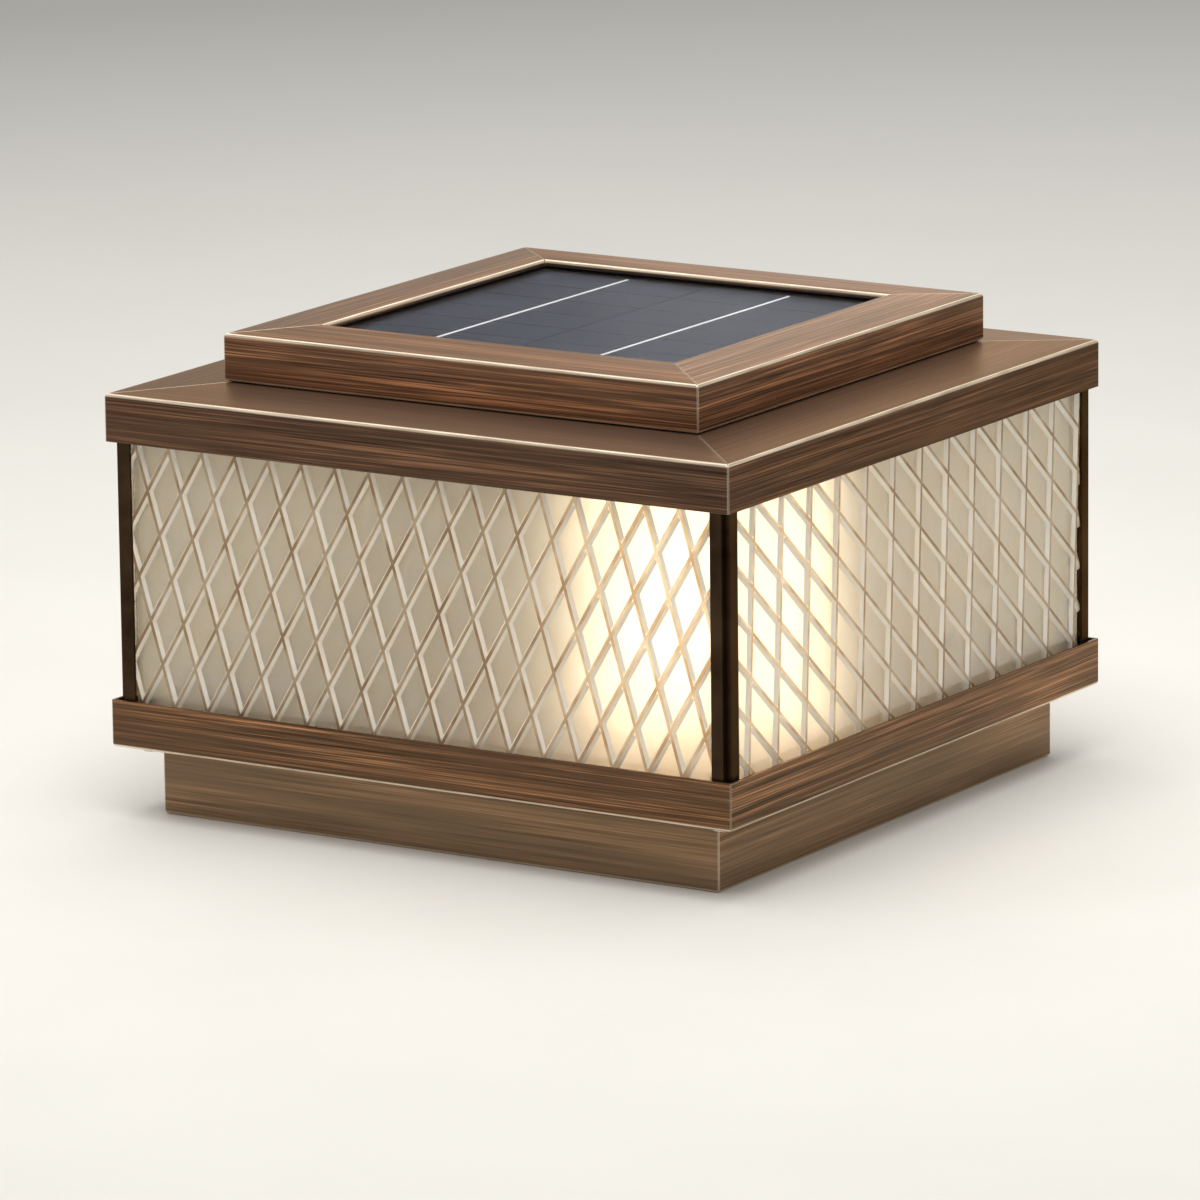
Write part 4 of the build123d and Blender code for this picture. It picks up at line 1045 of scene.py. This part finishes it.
class PILLAR_OT_panel(PillarOperator):
    """Finishes the solar panel: glass, cells, ribbons, backboard and pads"""

    bl_idname = "pillar.panel"
    bl_label = "Solar Panel"

    def execute(self, context):
        wear(cover_glass("panel_cover_glass"), "panel_glass")
        wear(silicon("cell_silicon"), "solar_cells")
        tin = moulded("ribbon_tin", tone=(0.86, 0.86, 0.86), pale=(0.94, 0.94, 0.93), roughness=0.4)
        points, quads = ribbon_strips()
        piece = make_piece("cell_ribbon_strips", points, quads, HEAD, (tin,))
        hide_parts("cell_ribbons")
        black = moulded(
            "panel_black", tone=(0.008, 0.008, 0.010), pale=(0.016, 0.016, 0.018), roughness=0.45,
            Specular_IOR_Level=0.05,
        )
        wear(black, "panel_backboard")
        foam = moulded(
            "foam_pad", tone=(0.030, 0.030, 0.032), pale=(0.06, 0.06, 0.06), roughness=0.9, grain=1500.0
        )
        wear(foam, "panel_pads")
        return {"FINISHED"}


class PILLAR_OT_lamp(PillarOperator):
    """Spins the opal tube, lights it with its cap and chips, and finishes the strips and the collar"""

    bl_idname = "pillar.lamp"
    bl_label = "Lamp"

    def execute(self, context):
        size = sizes()
        low, high = (np.array(corner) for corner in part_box("lamp_tube"))
        centre = (low + high)[:2] / 2
        radius = (high - low)[0] / 2
        foot, middle, top = low[2], (low[2] + high[2]) / 2, high[2]
        tube = [
            (radius - size.tube_edge, foot),
            (radius, foot + size.tube_edge),
            (radius, middle),
            (radius, top - size.tube_edge),
            (radius - size.tube_edge, top),
            (radius - size.tube_wall, top),
            (radius - size.tube_wall, foot),
        ]
        opal = lit_opal("lit_opal")
        points, quads = revolved(tube, centre)
        piece = make_piece("lamp_tube_opal", points, quads, HEAD, (opal,), TUBE_CRISP)
        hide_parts("lamp_tube")
        wear(opal, "lamp_end_cap")
        wear(lit_opal("led_phosphor"), "led_chips")
        strip = moulded("strip_white", tone=(0.72, 0.72, 0.70), pale=(0.80, 0.80, 0.78), roughness=0.4)
        wear(strip, "led_strips")
        collar = moulded("collar_white", tone=(0.70, 0.69, 0.66), pale=(0.80, 0.79, 0.76), roughness=0.42)
        wear(collar, "lamp_collar")
        return {"FINISHED"}


class PILLAR_OT_fittings(PillarOperator):
    """Finishes the frames, seals and fasteners of the lantern and the head"""

    bl_idname = "pillar.fittings"
    bl_label = "Fittings"

    def execute(self, context):
        zinc = turned_metal(
            "zinc_plate", tone=(0.56, 0.57, 0.58), dark=(0.38, 0.39, 0.41), roughness=0.42, grain=500.0
        )
        wear(zinc, "base_plate")
        mill = turned_metal(
            "mill_aluminium", tone=(0.62, 0.61, 0.59), dark=(0.48, 0.47, 0.46), roughness=0.38, grain=800.0
        )
        wear(mill, "lower_glazing_frame", "upper_glazing_frame", "led_column", "frame_standoffs")
        steel = turned_metal(
            "screw_steel", tone=(0.60, 0.59, 0.57), dark=(0.42, 0.41, 0.40), roughness=0.28, grain=1200.0
        )
        wear(
            steel, "base_plate_screws", "floor_screws", "lower_post_screws", "upper_post_screws",
            "canopy_studs", "canopy_nuts", "tray_screws", "housing_screws", "board_screws", "cover_screws",
            "lamp_screws",
        )
        rubber = moulded(
            "seal_rubber", tone=(0.018, 0.018, 0.018), pale=(0.034, 0.034, 0.034), roughness=0.72
        )
        wear(
            rubber, "lower_pane_gaskets", "upper_pane_gaskets", "collar_trim", "panel_seal",
            "lead_grommet",
        )
        return {"FINISHED"}


class PILLAR_OT_engine(PillarOperator):
    """Finishes the head tray, the housing and everything in it, and the button"""

    bl_idname = "pillar.engine"
    bl_label = "Engine"

    def execute(self, context):
        black = moulded(
            "housing_black", tone=(0.020, 0.020, 0.021), pale=(0.036, 0.036, 0.038), roughness=0.5
        )
        wear(
            black, "head_tray", "engine_housing", "engine_cover", "battery_holder", "switch_body",
            "switch_bezel", "board_components",
        )
        wear(circuit_board("board_green"), "controller_board")
        wrap = moulded("battery_wrap", tone=(0.05, 0.12, 0.30), pale=(0.08, 0.17, 0.38), roughness=0.3)
        wear(wrap, "battery_cells")
        nickel = turned_metal(
            "contact_nickel", tone=(0.72, 0.68, 0.58), dark=(0.5, 0.47, 0.4), roughness=0.3, grain=900.0
        )
        wear(nickel, "battery_contacts")
        sleeve = moulded("lead_sleeve", tone=(0.025, 0.025, 0.026), pale=(0.05, 0.05, 0.05), roughness=0.5)
        wear(sleeve, "panel_leads", "switch_leads", "led_cable")
        red = moulded("button_red", tone=(0.36, 0.035, 0.030), pale=(0.46, 0.06, 0.05), roughness=0.32)
        wear(red, "button_cap")
        return {"FINISHED"}


# Stage

# Half the floor's width in metres, and its points along a side, closer towards the lantern
FLOOR_REACH = 6.0
FLOOR_POINTS = 41
# Soft boxes: name, the setting with their power, width, height and place in metres
SOFT_BOXES = (
    ("overhead_box", "overhead", 1.6, 1.6, (0.2, -0.6, 2.1)),
    ("ceiling_box", "ceiling", 2.8, 2.8, (-0.7, 0.9, 2.0)),
    ("right_box", "right", 1.1, 1.1, (2.2, -0.5, 0.8)),
    ("back_box", "behind", 2.6, 1.5, (-0.6, 3.2, 0.9)),
)
# The point that the soft boxes face
LIT_POINT = Vector((0.0, 0.0, 0.1))
# Width of the camera's sensor in millimetres, and how far it sees in metres
SENSOR = 36.0
SIGHT = 60.0


def lay_floor(stage):
    """The pale floor: a level grid, x and y each the reach times the cube of an even step."""
    reach = FLOOR_REACH * np.linspace(-1.0, 1.0, FLOOR_POINTS) ** 3
    x, y = np.meshgrid(reach, reach, indexing="ij")
    points = np.stack([x, y, 0 * x], axis=-1).reshape(-1, 3)
    mesh = bpy.data.meshes.new("pale_floor")
    mesh.from_pydata(points.tolist(), [], grid_quads(FLOOR_POINTS, FLOOR_POINTS)[:, ::-1].tolist())
    mesh.materials.append(pale_plaster("pale_plaster", stage.floor, stage.far_floor_shade))
    floor = bpy.data.objects.new("pale_floor", mesh)
    bpy.context.scene.collection.objects.link(floor)


def light_sky(stage):
    """Even light from all round."""
    world = bpy.data.worlds.new("studio_sky")
    world.use_nodes = True
    background = world.node_tree.nodes["Background"]
    background.inputs["Color"].default_value = (*stage.sky_tint, 1.0)
    background.inputs["Strength"].default_value = stage.sky
    bpy.context.scene.world = world


def hang_soft_box(name, energy, width, height, place):
    """A soft box that faces the lantern and isn't seen itself."""
    light = bpy.data.lights.new(name, "AREA")
    light.energy = energy
    light.shape = "RECTANGLE"
    light.size = width
    light.size_y = height
    lamp = bpy.data.objects.new(name, light)
    lamp.location = place
    lamp.visible_camera = False
    lamp.rotation_euler = (LIT_POINT - Vector(place)).to_track_quat("-Z", "Y").to_euler()
    bpy.context.scene.collection.objects.link(lamp)


def place_camera(stage):
    """Camera axes from its azimuth, elevation and roll; its place from its distance and steps."""
    azimuth, elevation, roll = stage.azimuth, stage.elevation, stage.roll
    level = math.cos(elevation)
    back = Vector((math.sin(azimuth) * level, -math.cos(azimuth) * level, math.sin(elevation)))
    right = Vector((math.cos(azimuth), math.sin(azimuth), 0.0))
    up = back.cross(right)
    place = back * stage.distance + right * stage.across + up * stage.up
    rolled_right = right * math.cos(roll) + up * math.sin(roll)
    rolled_up = up * math.cos(roll) - right * math.sin(roll)
    turned = Matrix((rolled_right, rolled_up, back)).transposed().to_4x4()
    lens = bpy.data.cameras.new("camera")
    lens.sensor_width = SENSOR
    lens.lens = stage.focal
    lens.clip_end = SIGHT
    camera = bpy.data.objects.new("camera", lens)
    camera.matrix_world = Matrix.Translation(place) @ turned
    bpy.context.scene.collection.objects.link(camera)
    bpy.context.scene.camera = camera


class PILLAR_OT_stage(PillarOperator):
    """Lays the pale floor, hangs the soft boxes and sets the camera"""

    bl_idname = "pillar.stage"
    bl_label = "Stage"

    def execute(self, context):
        stage = context.scene.pillar_stage
        context.scene.view_settings.view_transform = "Standard"
        lay_floor(stage)
        light_sky(stage)
        for name, setting, width, height, place in SOFT_BOXES:
            hang_soft_box(name, getattr(stage, setting), width, height, place)
        place_camera(stage)
        return {"FINISHED"}


class PILLAR_PT_makers(bpy.types.Panel):
    """Lists the makers and the sizes and finishes they use"""

    bl_idname = "PILLAR_PT_makers"
    bl_label = "Solar Pillar Light"
    bl_space_type = "VIEW_3D"
    bl_region_type = "UI"
    bl_category = "Pillar Light"

    def draw(self, context):
        layout = self.layout
        for maker in MAKERS:
            layout.operator(maker.bl_idname)
        for name in GROUPS:
            group = getattr(context.scene, name)
            box = layout.box()
            for setting in group.__annotations__:
                box.prop(group, setting)


MAKERS = (
    PILLAR_OT_solar_frame,
    PILLAR_OT_canopy,
    PILLAR_OT_band,
    PILLAR_OT_plinth,
    PILLAR_OT_posts,
    PILLAR_OT_panes,
    PILLAR_OT_panel,
    PILLAR_OT_lamp,
    PILLAR_OT_fittings,
    PILLAR_OT_engine,
    PILLAR_OT_stage,
)
GROUPS = {"pillar_colours": LanternColours, "pillar_stage": StageSettings, "pillar_sizes": LanternSizes}


def register():
    """Adds the settings, the makers and the panel."""
    for name, group in GROUPS.items():
        bpy.utils.register_class(group)
        setattr(bpy.types.Scene, name, bpy.props.PointerProperty(type=group))
    for maker in MAKERS:
        bpy.utils.register_class(maker)
    bpy.utils.register_class(PILLAR_PT_makers)


def unregister():
    """Takes them away again."""
    bpy.utils.unregister_class(PILLAR_PT_makers)
    for maker in reversed(MAKERS):
        bpy.utils.unregister_class(maker)
    for name, group in GROUPS.items():
        delattr(bpy.types.Scene, name)
        bpy.utils.unregister_class(group)


def main():
    """Registers the makers and runs them in order."""
    register()
    for maker in MAKERS:
        group, name = maker.bl_idname.split(".")
        getattr(getattr(bpy.ops, group), name)()


if __name__ == "__main__":
    main()
